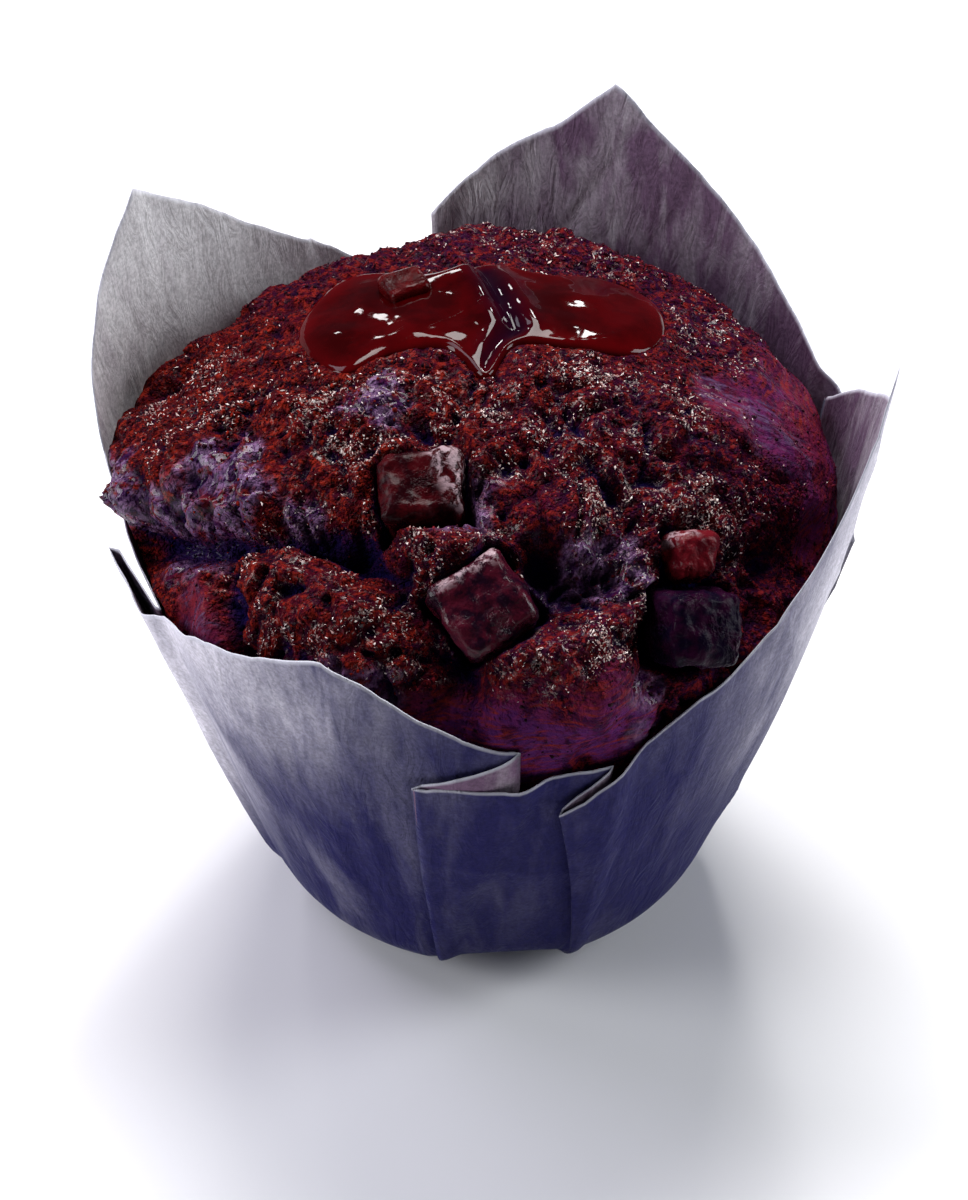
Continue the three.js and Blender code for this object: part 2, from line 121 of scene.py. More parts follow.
def near_place(points: Array, place: Point, spread: float) -> Array:
    """Bell curve of the distance of points from a place."""
    return bell(np.linalg.norm(points - np.array(place), axis=1), spread)


def line_distance(points: Array, line: Sequence[Sequence[float]]) -> Array:
    """Distance of points from a line of several legs.

    Args:
        points: Rows of coordinates in mm.
        line: Coordinates of the line's corners in mm.

    Returns:
        One distance in mm for each point.
    """
    nearest = np.full(len(points), FAR)
    for a, b in zip(line[:-1], line[1:]):
        start = np.array(a, float)
        leg = np.array(b, float) - start
        t = np.clip(((points - start) @ leg) / (leg @ leg), 0.0, 1.0)
        nearest = np.minimum(nearest, np.linalg.norm(points - (start + t[:, None] * leg), axis=1))
    return nearest


def hashed(cell: Array, salt: float = 0.0) -> Array:
    """Pseudo-random value between 0 and 1 of integer cells."""
    s = np.sin(cell @ HASH_AXES + salt) * HASH_GAIN
    return s - np.floor(s)


def smooth_noise(points: Array, scale: float, offset: float = 0.0) -> Array:
    """Smooth noise between -1 and 1.

    Args:
        points: Rows of x, y, z in mm.
        scale: Size of the noise's cells in mm.
        offset: Shift along x in cells.

    Returns:
        One value for each point.
    """
    p = points / scale + np.array([offset, 0.0, 0.0])
    base = np.floor(p)
    w = smooth(p - base)
    total = np.zeros(len(p))
    for corner in range(8):
        step = np.array([corner & 1, (corner >> 1) & 1, (corner >> 2) & 1], float)
        weight = np.prod(np.where(step > 0, w, 1.0 - w), axis=1)
        total += weight * (2.0 * hashed(base + step) - 1.0)
    return total


def fractal_noise(points: Array, scale: float, octaves: int, gain: float = 0.5) -> Array:
    """Sum of smooth noises, each half the size of the last.

    Args:
        points: Rows of x, y, z in mm.
        scale: Cell size of the first noise in mm.
        octaves: Number of noises.
        gain: Strength of each noise against the last.

    Returns:
        One value for each point.
    """
    total = np.zeros(len(points))
    strength = 1.0
    for octave in range(octaves):
        total += strength * smooth_noise(points, scale / 2**octave, 17.3 * octave)
        strength *= gain
    return total


def cell_noise(points: Array, scale: float) -> Tuple[Array, Array, Array]:
    """Distances to the nearest and second nearest of scattered seeds.

    Args:
        points: Rows of x, y, z in mm.
        scale: Mean distance between seeds in mm.

    Returns:
        Nearest distance, second nearest distance, both in units of scale, and a value of the nearest seed.
    """
    p = points / scale
    base = np.floor(p)
    first = np.full(len(p), 9.0)
    second = np.full(len(p), 9.0)
    value = np.zeros(len(p))
    for i in (-1, 0, 1):
        for j in (-1, 0, 1):
            for k in (-1, 0, 1):
                cell = base + np.array([i, j, k], float)
                jitter = np.stack([hashed(cell, salt) for salt in (0.0, 5.1, 9.7)], axis=1)
                distance = np.linalg.norm(cell + jitter - p, axis=1)
                closer = distance < first
                second = np.where(closer, first, np.minimum(second, distance))
                value = np.where(closer, hashed(cell, 3.3), value)
                first = np.where(closer, distance, first)
    return first, second, value


def grid_faces(rows: int, columns: int, start: int = 0, flip: bool = False) -> Array:
    """Quads between rows of vertices that close on themselves.

    Args:
        rows: Number of rows.
        columns: Vertices in each row.
        start: Number of the first vertex.
        flip: Turns the faces the other way.

    Returns:
        Rows of four vertex numbers.
    """
    r, c = np.meshgrid(np.arange(rows - 1), np.arange(columns), indexing="ij")
    a = start + r * columns + c
    b = start + r * columns + (c + 1) % columns
    d = a + columns
    e = b + columns
    quads = np.stack([a, b, e, d], axis=-1).reshape(-1, 4)
    return quads[:, ::-1] if flip else quads


def square_faces(side: int, start: int = 0) -> Array:
    """Quads of a square grid of vertices.

    Args:
        side: Vertices along each side.
        start: Number of the first vertex.

    Returns:
        Rows of four vertex numbers.
    """
    i, j = np.meshgrid(np.arange(side - 1), np.arange(side - 1), indexing="ij")
    a = start + i * side + j
    return np.stack([a, a + side, a + side + 1, a + 1], axis=-1).reshape(-1, 4)


def make_piece(
    name: str,
    points: Array,
    faces: Sequence[Sequence[int]],
    material: bpy.types.Material,
    values: Optional[Dict[str, Array]] = None,
    uv: Optional[Array] = None,
) -> Piece:
    """Makes a smooth-shaded mesh object from points in mm.

    Args:
        name: Name of the object.
        points: Rows of x, y, z in mm.
        faces: Vertex numbers of each face.
        material: Finish of the piece.
        values: Named values, one for each vertex, that the finish reads.
        uv: Rows of u, v, one for each vertex.

    Returns:
        The object, linked to the scene.
    """
    mesh = bpy.data.meshes.new(name)
    mesh.from_pydata((points * MM).tolist(), [], [list(map(int, face)) for face in faces])
    mesh.validate()
    mesh.polygons.foreach_set("use_smooth", np.ones(len(mesh.polygons), bool))
    for key, value in (values or {}).items():
        layer = mesh.attributes.new(key, "FLOAT", "POINT")
        layer.data.foreach_set("value", np.asarray(value, np.float32))
    if uv is not None:
        loops = np.zeros(len(mesh.loops), np.int32)
        mesh.loops.foreach_get("vertex_index", loops)
        layer = mesh.uv_layers.new(name="UVMap")
        layer.data.foreach_set("uv", uv[loops].astype(np.float32).ravel())
    mesh.materials.append(material)
    mesh.update()
    return add_object(name, mesh)


def add_object(name: str, data: bpy.types.ID) -> Piece:
    """Adds an object of a mesh, a light or a camera to the scene.

    Args:
        name: Name of the object.
        data: What the object shows.

    Returns:
        The object.
    """
    thing = bpy.data.objects.new(name, data)
    bpy.context.scene.collection.objects.link(thing)
    return thing


def dress(piece: Piece, slot: Slot, *nodes: str) -> Piece:
    """Ties a piece to the frame: it rides on the root and stands for CAD nodes.

    Args:
        piece: The piece.
        slot: Material slot; not used.
        *nodes: CAD nodes that it stands for.

    Returns:
        The piece.
    """
    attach(piece, "root")
    if nodes:
        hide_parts(*nodes)
    LOG.info("%s: %d faces", piece.name, len(piece.data.polygons))
    return piece


# Shader graphs


class Graph:
    """Short way to add and link the nodes of one node tree."""

    def __init__(self, tree: bpy.types.NodeTree) -> None:
        """Keeps the tree."""
        self.tree = tree

    def feed(self, socket: Socket, value: object) -> None:
        """Links an output to a node's input, or sets the input's own value.

        Args:
            socket: The input.
            value: An output socket or a plain value; a colour is given without its alpha.
        """
        if isinstance(value, Socket):
            self.tree.links.new(value, socket)
        elif socket.type == "RGBA":
            socket.default_value = (*value, 1.0)
        else:
            socket.default_value = value

    def add(self, kind: str, inputs: Optional[dict] = None, **settings: object) -> Node:
        """Adds a node.

        Args:
            kind: Blender's node type.
            inputs: Values or output sockets for the node's inputs, by name or number.
            **settings: Properties of the node.

        Returns:
            The node.
        """
        node = self.tree.nodes.new(kind)
        for key, value in settings.items():
            setattr(node, key, value)
        for key, value in (inputs or {}).items():
            self.feed(node.inputs[key], value)
        return node

    def math(self, operation: str, a: object, b: object = 0.0, clamp: bool = False) -> Socket:
        """Adds a Math node and returns its output."""
        return self.add("ShaderNodeMath", {0: a, 1: b}, operation=operation, use_clamp=clamp).outputs[0]

    def times(self, a: object, b: object) -> Socket:
        """Product of two values."""
        return self.math("MULTIPLY", a, b)

    def plus(self, a: object, b: object, clamp: bool = False) -> Socket:
        """Sum of two values, held between 0 and 1 if clamped."""
        return self.math("ADD", a, b, clamp)

    def minus(self, a: object, b: object) -> Socket:
        """Difference of two values."""
        return self.math("SUBTRACT", a, b)

    def mix(self, factor: object, a: object, b: object, blend: str = "MIX") -> Socket:
        """Mixes two colours."""
        return self.add("ShaderNodeMix", {0: factor, 6: a, 7: b}, data_type="RGBA", blend_type=blend).outputs[2]

    def span(
        self, value: object, low: float, high: float, to_low: float = 0.0, to_high: float = 1.0
    ) -> Socket:
        """Maps a span of values smoothly to another."""
        ends = {"Value": value, "From Min": low, "From Max": high, "To Min": to_low, "To Max": to_high}
        return self.add("ShaderNodeMapRange", ends, interpolation_type="SMOOTHSTEP").outputs[0]

    def noise(
        self, vector: object, scale: float, detail: float = 4.0, rough: float = 0.55, warp: float = 0.0
    ) -> Socket:
        """Adds a noise texture."""
        values = {"Vector": vector, "Scale": scale, "Detail": detail, "Roughness": rough, "Distortion": warp}
        return self.add("ShaderNodeTexNoise", values).outputs[0]

    def value(self, name: str) -> Socket:
        """Reads a named value of the mesh."""
        return self.add("ShaderNodeAttribute", None, attribute_name=name, attribute_type="GEOMETRY").outputs["Fac"]

    def place(self) -> Socket:
        """Object coordinates in millimetres."""
        coordinates = self.add("ShaderNodeTexCoord").outputs["Object"]
        return self.add("ShaderNodeVectorMath", {0: coordinates, "Scale": 1.0 / MM}, operation="SCALE").outputs[0]

    def stretched(self, vector: object, scale: Point) -> Socket:
        """A vector multiplied along each axis."""
        return self.add("ShaderNodeVectorMath", {0: vector, 1: scale}, operation="MULTIPLY").outputs[0]

    def bump(self, height: object, strength: float, distance_mm: float) -> Socket:
        """Adds a Bump node."""
        values = {"Height": height, "Strength": strength, "Distance": distance_mm * MM}
        return self.add("ShaderNodeBump", values).outputs[0]


class EffectGroups:
    """Shader node groups for the effects that several finishes share."""

    _made: Dict[str, bpy.types.NodeTree] = {}

    @classmethod
    def _start(
        cls, name: str, inputs: Sequence[Tuple[str, str]], outputs: Sequence[Tuple[str, str]]
    ) -> Tuple[Graph, Node, Node]:
        """Starts a group with named sockets.

        Args:
            name: Name of the group.
            inputs: Socket names and types.
            outputs: Socket names and types.

        Returns:
            The group's graph, its input node and its output node.
        """
        tree = bpy.data.node_groups.new(name, "ShaderNodeTree")
        for socket, kind in inputs:
            tree.interface.new_socket(name=socket, in_out="INPUT", socket_type=kind)
        for socket, kind in outputs:
            tree.interface.new_socket(name=socket, in_out="OUTPUT", socket_type=kind)
        graph = Graph(tree)
        cls._made[name] = tree
        return graph, graph.add("NodeGroupInput"), graph.add("NodeGroupOutput")

    @classmethod
    def grain(cls) -> bpy.types.NodeTree:
        """Sugary grain of a baked crust: rounded grains, their height and a mask of the ones that glisten.

        Returns:
            The group's tree.
        """
        if "baked_grain" in cls._made:
            return cls._made["baked_grain"]
        graph, start, end = cls._start(
            "baked_grain",
            [("Vector", "NodeSocketVector"), ("Grain Size", "NodeSocketFloat"), ("Coverage", "NodeSocketFloat")],
            [("Height", "NodeSocketFloat"), ("Glisten", "NodeSocketFloat")],
        )
        density = graph.math("DIVIDE", 1.0, start.outputs["Grain Size"])
        warp = graph.add("ShaderNodeTexNoise", {"Vector": start.outputs["Vector"], "Scale": 0.9, "Detail": 2.0})
        bent = graph.add("ShaderNodeVectorMath", {0: warp.outputs[1], "Scale": 0.8}, operation="SCALE").outputs[0]
        vector = graph.add("ShaderNodeVectorMath", {0: start.outputs["Vector"], 1: bent}, operation="ADD").outputs[0]
        coarse = graph.add("ShaderNodeTexVoronoi", {"Vector": vector, "Scale": density})
        fine = graph.add("ShaderNodeTexVoronoi", {"Vector": vector, "Scale": graph.times(density, 2.3)})
        dome = graph.span(coarse.outputs["Distance"], 0.75, 0.1)
        small = graph.span(fine.outputs["Distance"], 0.7, 0.1)
        height = graph.plus(dome, graph.times(small, 0.4))
        shade = graph.add("ShaderNodeSeparateColor", {0: coarse.outputs["Color"]}).outputs[0]
        chosen = graph.math("LESS_THAN", shade, start.outputs["Coverage"])
        glisten = graph.times(chosen, dome)
        graph.tree.links.new(height, end.inputs["Height"])
        graph.tree.links.new(glisten, end.inputs["Glisten"])
        return graph.tree

    @classmethod
    def mottle(cls) -> bpy.types.NodeTree:
        """Cloudy change between two colours.

        Returns:
            The group's tree.
        """
        if "mottle" in cls._made:
            return cls._made["mottle"]
        graph, start, end = cls._start(
            "mottle",
            [
                ("Vector", "NodeSocketVector"),
                ("Patch Size", "NodeSocketFloat"),
                ("Contrast", "NodeSocketFloat"),
                ("First", "NodeSocketColor"),
                ("Second", "NodeSocketColor"),
            ],
            [("Color", "NodeSocketColor"), ("Value", "NodeSocketFloat")],
        )
        density = graph.math("DIVIDE", 1.0, start.outputs["Patch Size"])
        grades = {"Vector": start.outputs["Vector"], "Scale": density, "Detail": 5.0, "Roughness": 0.6}
        cloud = graph.add("ShaderNodeTexNoise", grades).outputs[0]
        centred = graph.minus(cloud, 0.5)
        raised = graph.times(centred, start.outputs["Contrast"])
        value = graph.plus(raised, 0.5, clamp=True)
        colour = graph.mix(value, start.outputs["First"], start.outputs["Second"])
        graph.tree.links.new(colour, end.inputs["Color"])
        graph.tree.links.new(value, end.inputs["Value"])
        return graph.tree


def use_group(graph: Graph, tree: bpy.types.NodeTree, inputs: dict) -> Node:
    """Places an effect group in a graph with its own values."""
    return graph.add("ShaderNodeGroup", inputs, node_tree=tree)


def mottled(
    graph: Graph, place: Socket, size: float, contrast: float, first: Colour, second: Colour
) -> Node:
    """Places the mottle group.

    Args:
        graph: The material's graph.
        place: Coordinates in mm.
        size: Size of the patches in mm.
        contrast: How far the patches part into the two colours.
        first: Colour of the low patches.
        second: Colour of the high patches.

    Returns:
        The group's node, which puts out a colour and a value.
    """
    values = {"Vector": place, "Patch Size": size, "Contrast": contrast, "First": first, "Second": second}
    return use_group(graph, EffectGroups.mottle(), values)


def grained(graph: Graph, place: Socket, size: float, glistening: float) -> Node:
    """Places the grain group, with a grain size in mm and the share of the grains that glisten."""
    return use_group(graph, EffectGroups.grain(), {"Vector": place, "Grain Size": size, "Coverage": glistening})


def start_material(name: str) -> Tuple[bpy.types.Material, Graph, Node]:
    """Starts a material on its Principled BSDF.

    Args:
        name: Name of the material.

    Returns:
        The material, its graph and its shader.
    """
    material = bpy.data.materials.new(name)
    material.use_nodes = True
    return material, Graph(material.node_tree), material.node_tree.nodes["Principled BSDF"]


def set_values(shader: Node, **values: object) -> None:
    """Sets values on the shader's own sockets; an underscore in a name stands for a space."""
    for name, value in values.items():
        shader.inputs[name.replace("_", " ")].default_value = value


def link(graph: Graph, socket: Socket, shader: Node, name: str) -> None:
    """Links an output to an input of the shader."""
    graph.tree.links.new(socket, shader.inputs[name])


@dataclass(frozen=True)
class CrustFinish:
    """Moist, grainy chocolate crust, torn open in places, with nearly black shade painted in its hollows."""

    top: Colour = (0.066, 0.0016, 0.0038)
    top_dark: Colour = (0.009, 0.0008, 0.0062)
    orange: Colour = (0.230, 0.0150, 0.0060)
    # Painted shade: violet mixed in on the sides of the crust that lie in shade.
    violet_shade_colour: Colour = (0.019, 0.0022, 0.0230)
    smooth_skin: Colour = (0.125, 0.0092, 0.0240)
    streak: Colour = (0.205, 0.0185, 0.0120)
    # Painted shade: violet for the smooth skin low at the front.
    low_violet_shade: Colour = (0.082, 0.0150, 0.1020)
    skin_dark: Colour = (0.022, 0.0024, 0.0230)
    # Painted sheen: violet streak colour laid on the smooth skin at the right.
    brushed_sheen: Colour = (0.088, 0.0520, 0.1180)
    torn: Colour = (0.190, 0.0980, 0.2050)
    torn_dark: Colour = (0.026, 0.0038, 0.0400)
    # Painted shade: dark navy laid into the hollows and the moats round the chunks.
    hollow_shade: Colour = (0.0080, 0.0042, 0.0440)
    # Painted shade: near-black colour laid into the fine crevices of the crust.
    gap: Colour = (0.0060, 0.0009, 0.0085)
    # Painted highlight: pale colour of the bright strokes.
    glint: Colour = (0.80, 0.66, 0.60)
    patch_mm: float = 3.2
    speckle_mm: float = 0.8
    flesh_mm: float = 1.3
    grain_mm: float = 0.6
    glistening: float = 0.45
    skin_share: float = 0.78
    gap_shade_share: float = 0.8
    painted_stroke_share: float = 0.5
    coat_roughness: float = 0.08
    specular: float = 0.015
    bump_strength: float = 0.95
    bump_mm: float = 0.32

    def _skin(self, graph: Graph, place: Socket) -> Socket:
        """Colour of the smooth, drawn skin, with painted violet shade low at the front and painted violet sheen
        streaks on the right.

        Args:
            graph: The material's graph.
            place: Coordinates in mm.

        Returns:
            The colour.
        """
        drawn = graph.noise(graph.stretched(place, (0.34, 0.34, 2.3)), 1.0, 5.0, 0.68, 0.3)
        plain = graph.mix(graph.math("POWER", graph.value("violet_shade"), 2.2), self.smooth_skin, self.low_violet_shade)
        blotches = graph.span(graph.noise(place, 0.42, 6.0, 0.72), 0.54, 0.42, 0.0, 0.9)
        plain = graph.mix(blotches, plain, self.skin_dark)
        calm = graph.minus(1.0, graph.times(graph.value("brushed_sheen"), 0.8))
        skin = graph.mix(graph.times(graph.span(drawn, 0.46, 0.70), calm), plain, self.streak)
        # Painted sheen: violet streaks where the brushed-sheen mask is high.
        lines = graph.noise(graph.stretched(place, (0.35, 1.1, 0.35)), 1.0, 4.0, 0.7, 0.6)
        painted_strokes = graph.times(graph.span(lines, 0.46, 0.66), graph.value("brushed_sheen"))
        return graph.mix(painted_strokes, skin, self.brushed_sheen)

    def _painted_glint_strokes(self, graph: Graph, place: Socket) -> Socket:
        """Mask of the short bright strokes painted as highlights where wet sugar catches the light.

        Args:
            graph: The material's graph.
            place: Coordinates in mm.

        Returns:
            The mask.
        """
        waves = graph.noise(place, 1.5, 3.0, 0.6, 0.5)
        away = graph.math("ABSOLUTE", graph.minus(waves, 0.5))
        painted_strokes = graph.span(away, 0.045, 0.008)
        broken = graph.span(graph.noise(place, 1.1, 3.0, 0.6), 0.50, 0.60)
        return graph.times(graph.times(painted_strokes, broken), graph.value("glint"))

    def build(self) -> bpy.types.Material:
        """Makes the material.

        Returns:
            The material.
        """
        material, graph, shader = start_material("baked_crust")
        place = graph.place()
        masks = ("hollow_shade", "skin", "torn", "violet_shade", "glint")
        hollow_shade, skin, torn, violet_shade, glint = (graph.value(mask) for mask in masks)
        patches = mottled(graph, place, self.patch_mm, 5.0, self.top, self.top_dark)
        grain = grained(graph, place, self.grain_mm, self.glistening)
        speckle = mottled(graph, place, self.speckle_mm, 5.5, self.top_dark, self.orange)
        fleck = graph.span(speckle.outputs["Value"], 0.2, 1.0, 0.15, 0.75)
        colour = graph.mix(fleck, patches.outputs["Color"], speckle.outputs["Color"])
        # Painted shade: violet mixed in where the violet-shade mask is high.
        shaded = graph.span(speckle.outputs["Value"], 0.0, 0.8, 0.9, 0.35)
        colour = graph.mix(graph.times(violet_shade, shaded), colour, self.violet_shade_colour)
        colour = graph.mix(graph.times(skin, self.skin_share), colour, self._skin(graph, place))
        flesh = mottled(graph, place, self.flesh_mm, 6.5, self.torn_dark, self.torn)
        broken = graph.span(graph.noise(place, 0.6, 4.0, 0.65), 0.34, 0.54)
        colour = graph.mix(graph.times(torn, broken), colour, flesh.outputs["Color"])
        # Painted shade: fine crevices darken toward near black.
        colour = graph.mix(graph.times(graph.value("gap"), self.gap_shade_share), colour, self.gap)
        # Painted shade: the hollows turn near-black navy.
        colour = graph.mix(hollow_shade, colour, self.hollow_shade)
        # Painted highlight: pale strokes laid into the base colour.
        painted_strokes = self._painted_glint_strokes(graph, place)
        colour = graph.mix(graph.times(painted_strokes, self.painted_stroke_share), colour, self.glint)
        link(graph, colour, shader, "Base Color")
        open_grain = graph.minus(1.0, graph.times(skin, 0.7))
        lit = graph.minus(1.0, hollow_shade)
        wet = graph.times(graph.times(grain.outputs["Glisten"], open_grain), lit)
        rough = graph.span(speckle.outputs["Value"], 0.0, 1.0, 0.42, 0.7)
        link(graph, graph.minus(rough, graph.times(wet, 0.2)), shader, "Roughness")
        coat = graph.times(wet, graph.span(glint, 0.0, 1.0, 0.02, 0.75))
        link(graph, graph.math("MAXIMUM", coat, graph.times(torn, 0.35)), shader, "Coat Weight")
        set_values(shader, Coat_Roughness=self.coat_roughness, Specular_IOR_Level=self.specular)
        pores = graph.noise(place, 1.6, 3.0, 0.6)
        height = graph.times(grain.outputs["Height"], open_grain)
        height = graph.plus(height, graph.times(pores, 1.1))
        link(graph, graph.bump(height, self.bump_strength, self.bump_mm), shader, "Normal")
        return material


@dataclass(frozen=True)
class PaperFinish:
    """Dark baking paper, pale where it is dry and where light is painted on its lit sides, and navy where fat has
    soaked in.
    """

    # Partly painted light: the pale colour stands for dry paper and for the light on its lit sides.
    dry_and_lit: Colour = (0.640, 0.615, 0.680)
    soaked: Colour = (0.0145, 0.0130, 0.0745)
    inner: Colour = (0.154, 0.092, 0.152)
    # Partly painted light: the pale inside colour stands for dry paper and for the light on the insides that face it.
    inner_lit_pale: Colour = (0.80, 0.79, 0.80)
    # Painted highlight: pale line along the cut edge where it catches the light.
    cut_edge_highlight: Colour = (0.55, 0.55, 0.62)
    sheen: float = 0.16
    sheen_roughness: float = 0.16
    sheen_tint: Tuple[float, ...] = (0.8, 0.86, 1.0, 1.0)
    specular: float = 0.06
    bump_strength: float = 0.5
    bump_mm: float = 0.5

    def build(self) -> bpy.types.Material:
        """Makes the material.

        Returns:
            The material.
        """
        material, graph, shader = start_material("baking_paper")
        uv = graph.add("ShaderNodeTexCoord").outputs["UV"]
        place = graph.place()
        streaks = graph.noise(graph.stretched(uv, (0.34, 0.075, 1.0)), 1.0, 6.0, 0.62, 0.6)
        cloud = graph.noise(graph.stretched(uv, (0.13, 0.07, 1.0)), 1.0, 4.0, 0.55)
        fibre = graph.noise(place, 2.6, 2.0, 0.6)
        speck = graph.noise(place, 1.1, 4.0, 0.7)
        shade = graph.times(graph.minus(streaks, 0.5), 1.5)
        shade = graph.plus(shade, graph.times(graph.minus(cloud, 0.5), 1.2))
        # Partly painted light: mask of dry paper and of the sides where light is painted.
        outer_dry_and_lit = graph.value("dry_and_lit")
        spread = graph.span(outer_dry_and_lit, 0.0, 0.4, 0.18, 1.0)
        clouded = graph.times(graph.times(shade, 0.7), spread)
        tone = graph.plus(outer_dry_and_lit, clouded, clamp=True)
        smears = graph.span(graph.noise(graph.stretched(uv, (0.17, 0.035, 1.0)), 1.0, 5.0, 0.6, 0.7), 0.47, 0.70)
        smeared = graph.times(graph.times(smears, graph.value("smeared")), 0.12)
        tone = graph.plus(tone, smeared, clamp=True)
        outer = graph.mix(tone, self.soaked, self.dry_and_lit)
        # Partly painted light: the inside turns pale where it is dry and where light is painted.
        inner_tone = graph.plus(graph.value("inner_dry_and_lit"), graph.times(shade, 0.75), clamp=True)
        inner = graph.mix(inner_tone, self.inner, self.inner_lit_pale)
        grit = graph.plus(graph.times(fibre, 0.55), graph.times(speck, 0.45))
        grey = graph.span(grit, 0.35, 0.65, 0.80, 1.2)
        tint = graph.add("ShaderNodeCombineColor", {0: grey, 1: grey, 2: grey}).outputs[0]
        colour = graph.mix(1.0, graph.mix(graph.value("inside"), outer, inner), tint, "MULTIPLY")
        # Painted highlight: the cut edge turns pale.
        link(graph, graph.mix(graph.value("cut_edge_highlight"), colour, self.cut_edge_highlight), shader, "Base Color")
        link(graph, graph.span(streaks, 0.3, 0.7, 0.6, 0.85), shader, "Roughness")
        set_values(shader, Sheen_Weight=self.sheen, Sheen_Roughness=self.sheen_roughness)
        set_values(shader, Sheen_Tint=self.sheen_tint, Specular_IOR_Level=self.specular)
        creases = graph.noise(graph.stretched(uv, (0.5, 0.16, 1.0)), 1.0, 5.0, 0.6, 1.2)
        height = graph.plus(graph.times(creases, 1.6), graph.times(fibre, 0.18))
        link(graph, graph.bump(height, self.bump_strength, self.bump_mm), shader, "Normal")
        return material


@dataclass(frozen=True)
class SauceFinish:
    """Glossy dark chocolate sauce that glows red where it is thin, with a painted dark reflection along its fold."""

    deep: Colour = (0.020, 0.0001, 0.0004)
    thin: Colour = (0.080, 0.0005, 0.0013)
    # Painted reflection: dark navy band along the fold.
    crease: Colour = (0.0040, 0.0004, 0.0060)
    patch_mm: float = 5.5
    roughness: float = 0.05
    ior: float = 1.36
    specular: float = 0.30
    bump_strength: float = 0.2
    bump_mm: float = 0.6

    def build(self) -> bpy.types.Material:
        """Makes the material.

        Returns:
            The material.
        """
        material, graph, shader = start_material("glossy_sauce")
        place = graph.place()
        cloud = mottled(graph, place, self.patch_mm, 4.5, self.deep, self.thin)
        veil = graph.times(cloud.outputs["Value"], 0.42)
        blend = graph.plus(veil, graph.times(graph.value("thin"), 0.35), clamp=True)
        colour = graph.mix(blend, self.deep, self.thin)
        # Painted reflection: the fold's band darkens toward navy.
        fold_reflection = graph.times(graph.value("fold_reflection"), 0.85)
        link(graph, graph.mix(fold_reflection, colour, self.crease), shader, "Base Color")
        set_values(shader, Roughness=self.roughness, IOR=self.ior, Specular_IOR_Level=self.specular)
        ripple = graph.noise(place, 0.3, 2.0, 0.5)
        link(graph, graph.bump(ripple, self.bump_strength, self.bump_mm), shader, "Normal")
        return material


@dataclass(frozen=True)
class ChunkFinish:
    """Half-melted dark chocolate with crumbs of the crust stuck to it and a pale highlight painted along one upper
    side.
    """

    name: str
    dark: Colour = (0.0070, 0.0012, 0.0060)
    warm: Colour = (0.034, 0.0022, 0.0040)
    bloom: Colour = (0.085, 0.035, 0.060)
    bloom_share: float = 0.12
    # Painted highlight: pale colour laid on the side of each chunk that faces the light.
    painted_highlight: Colour = (0.58, 0.42, 0.46)
    coat: float = 0.14
    shine: float = 0.10
    patch_mm: float = 2.0
    grain_mm: float = 0.6
    glistening: float = 0.5
    painted_highlight_share: float = 0.6
    coat_roughness: float = 0.08
    bump_strength: float = 0.75
    bump_mm: float = 0.4

    def build(self) -> bpy.types.Material:
        """Makes the material.

        Returns:
            The material.
        """
        material, graph, shader = start_material(self.name)
        place = graph.place()
        patches = mottled(graph, place, self.patch_mm, 6.5, self.dark, self.warm)
        grain = grained(graph, place, self.grain_mm, self.glistening)
        smear = graph.span(graph.noise(place, 0.38, 5.0, 0.66, 0.9), 0.52, 0.66)
        colour = graph.mix(graph.times(smear, self.bloom_share), patches.outputs["Color"], self.bloom)
        # Painted highlight: pale patches on the side of the chunk that faces the light.
        highlight_patches = graph.span(graph.noise(place, 0.85, 4.0, 0.65, 0.4), 0.47, 0.60)
        painted_highlight_mask = graph.times(graph.value("painted_highlight_mask"), highlight_patches)
        colour = graph.mix(graph.times(painted_highlight_mask, self.painted_highlight_share), colour, self.painted_highlight)
        link(graph, colour, shader, "Base Color")
        link(graph, graph.span(smear, 0.0, 1.0, 0.24, 0.45), shader, "Roughness")
        set_values(
            shader, Specular_IOR_Level=self.shine, Coat_Weight=self.coat, Coat_Roughness=self.coat_roughness)
        crumbs = graph.times(grain.outputs["Height"], graph.value("crumbed"))
        wobble = graph.noise(place, 0.7, 4.0, 0.55)
        height = graph.plus(graph.times(crumbs, 0.6), graph.times(wobble, 1.4))
        link(graph, graph.bump(height, self.bump_strength, self.bump_mm), shader, "Normal")
        return material


# Form of the case that the paper and the muffin share


@dataclass(frozen=True)
class Pleat:
    """A knife pleat: azimuths in degrees of its outer crease and inner fold, and how far the crease stands off."""

    crease_rim: float
    fold_rim: float
    floor: float
    stand: float


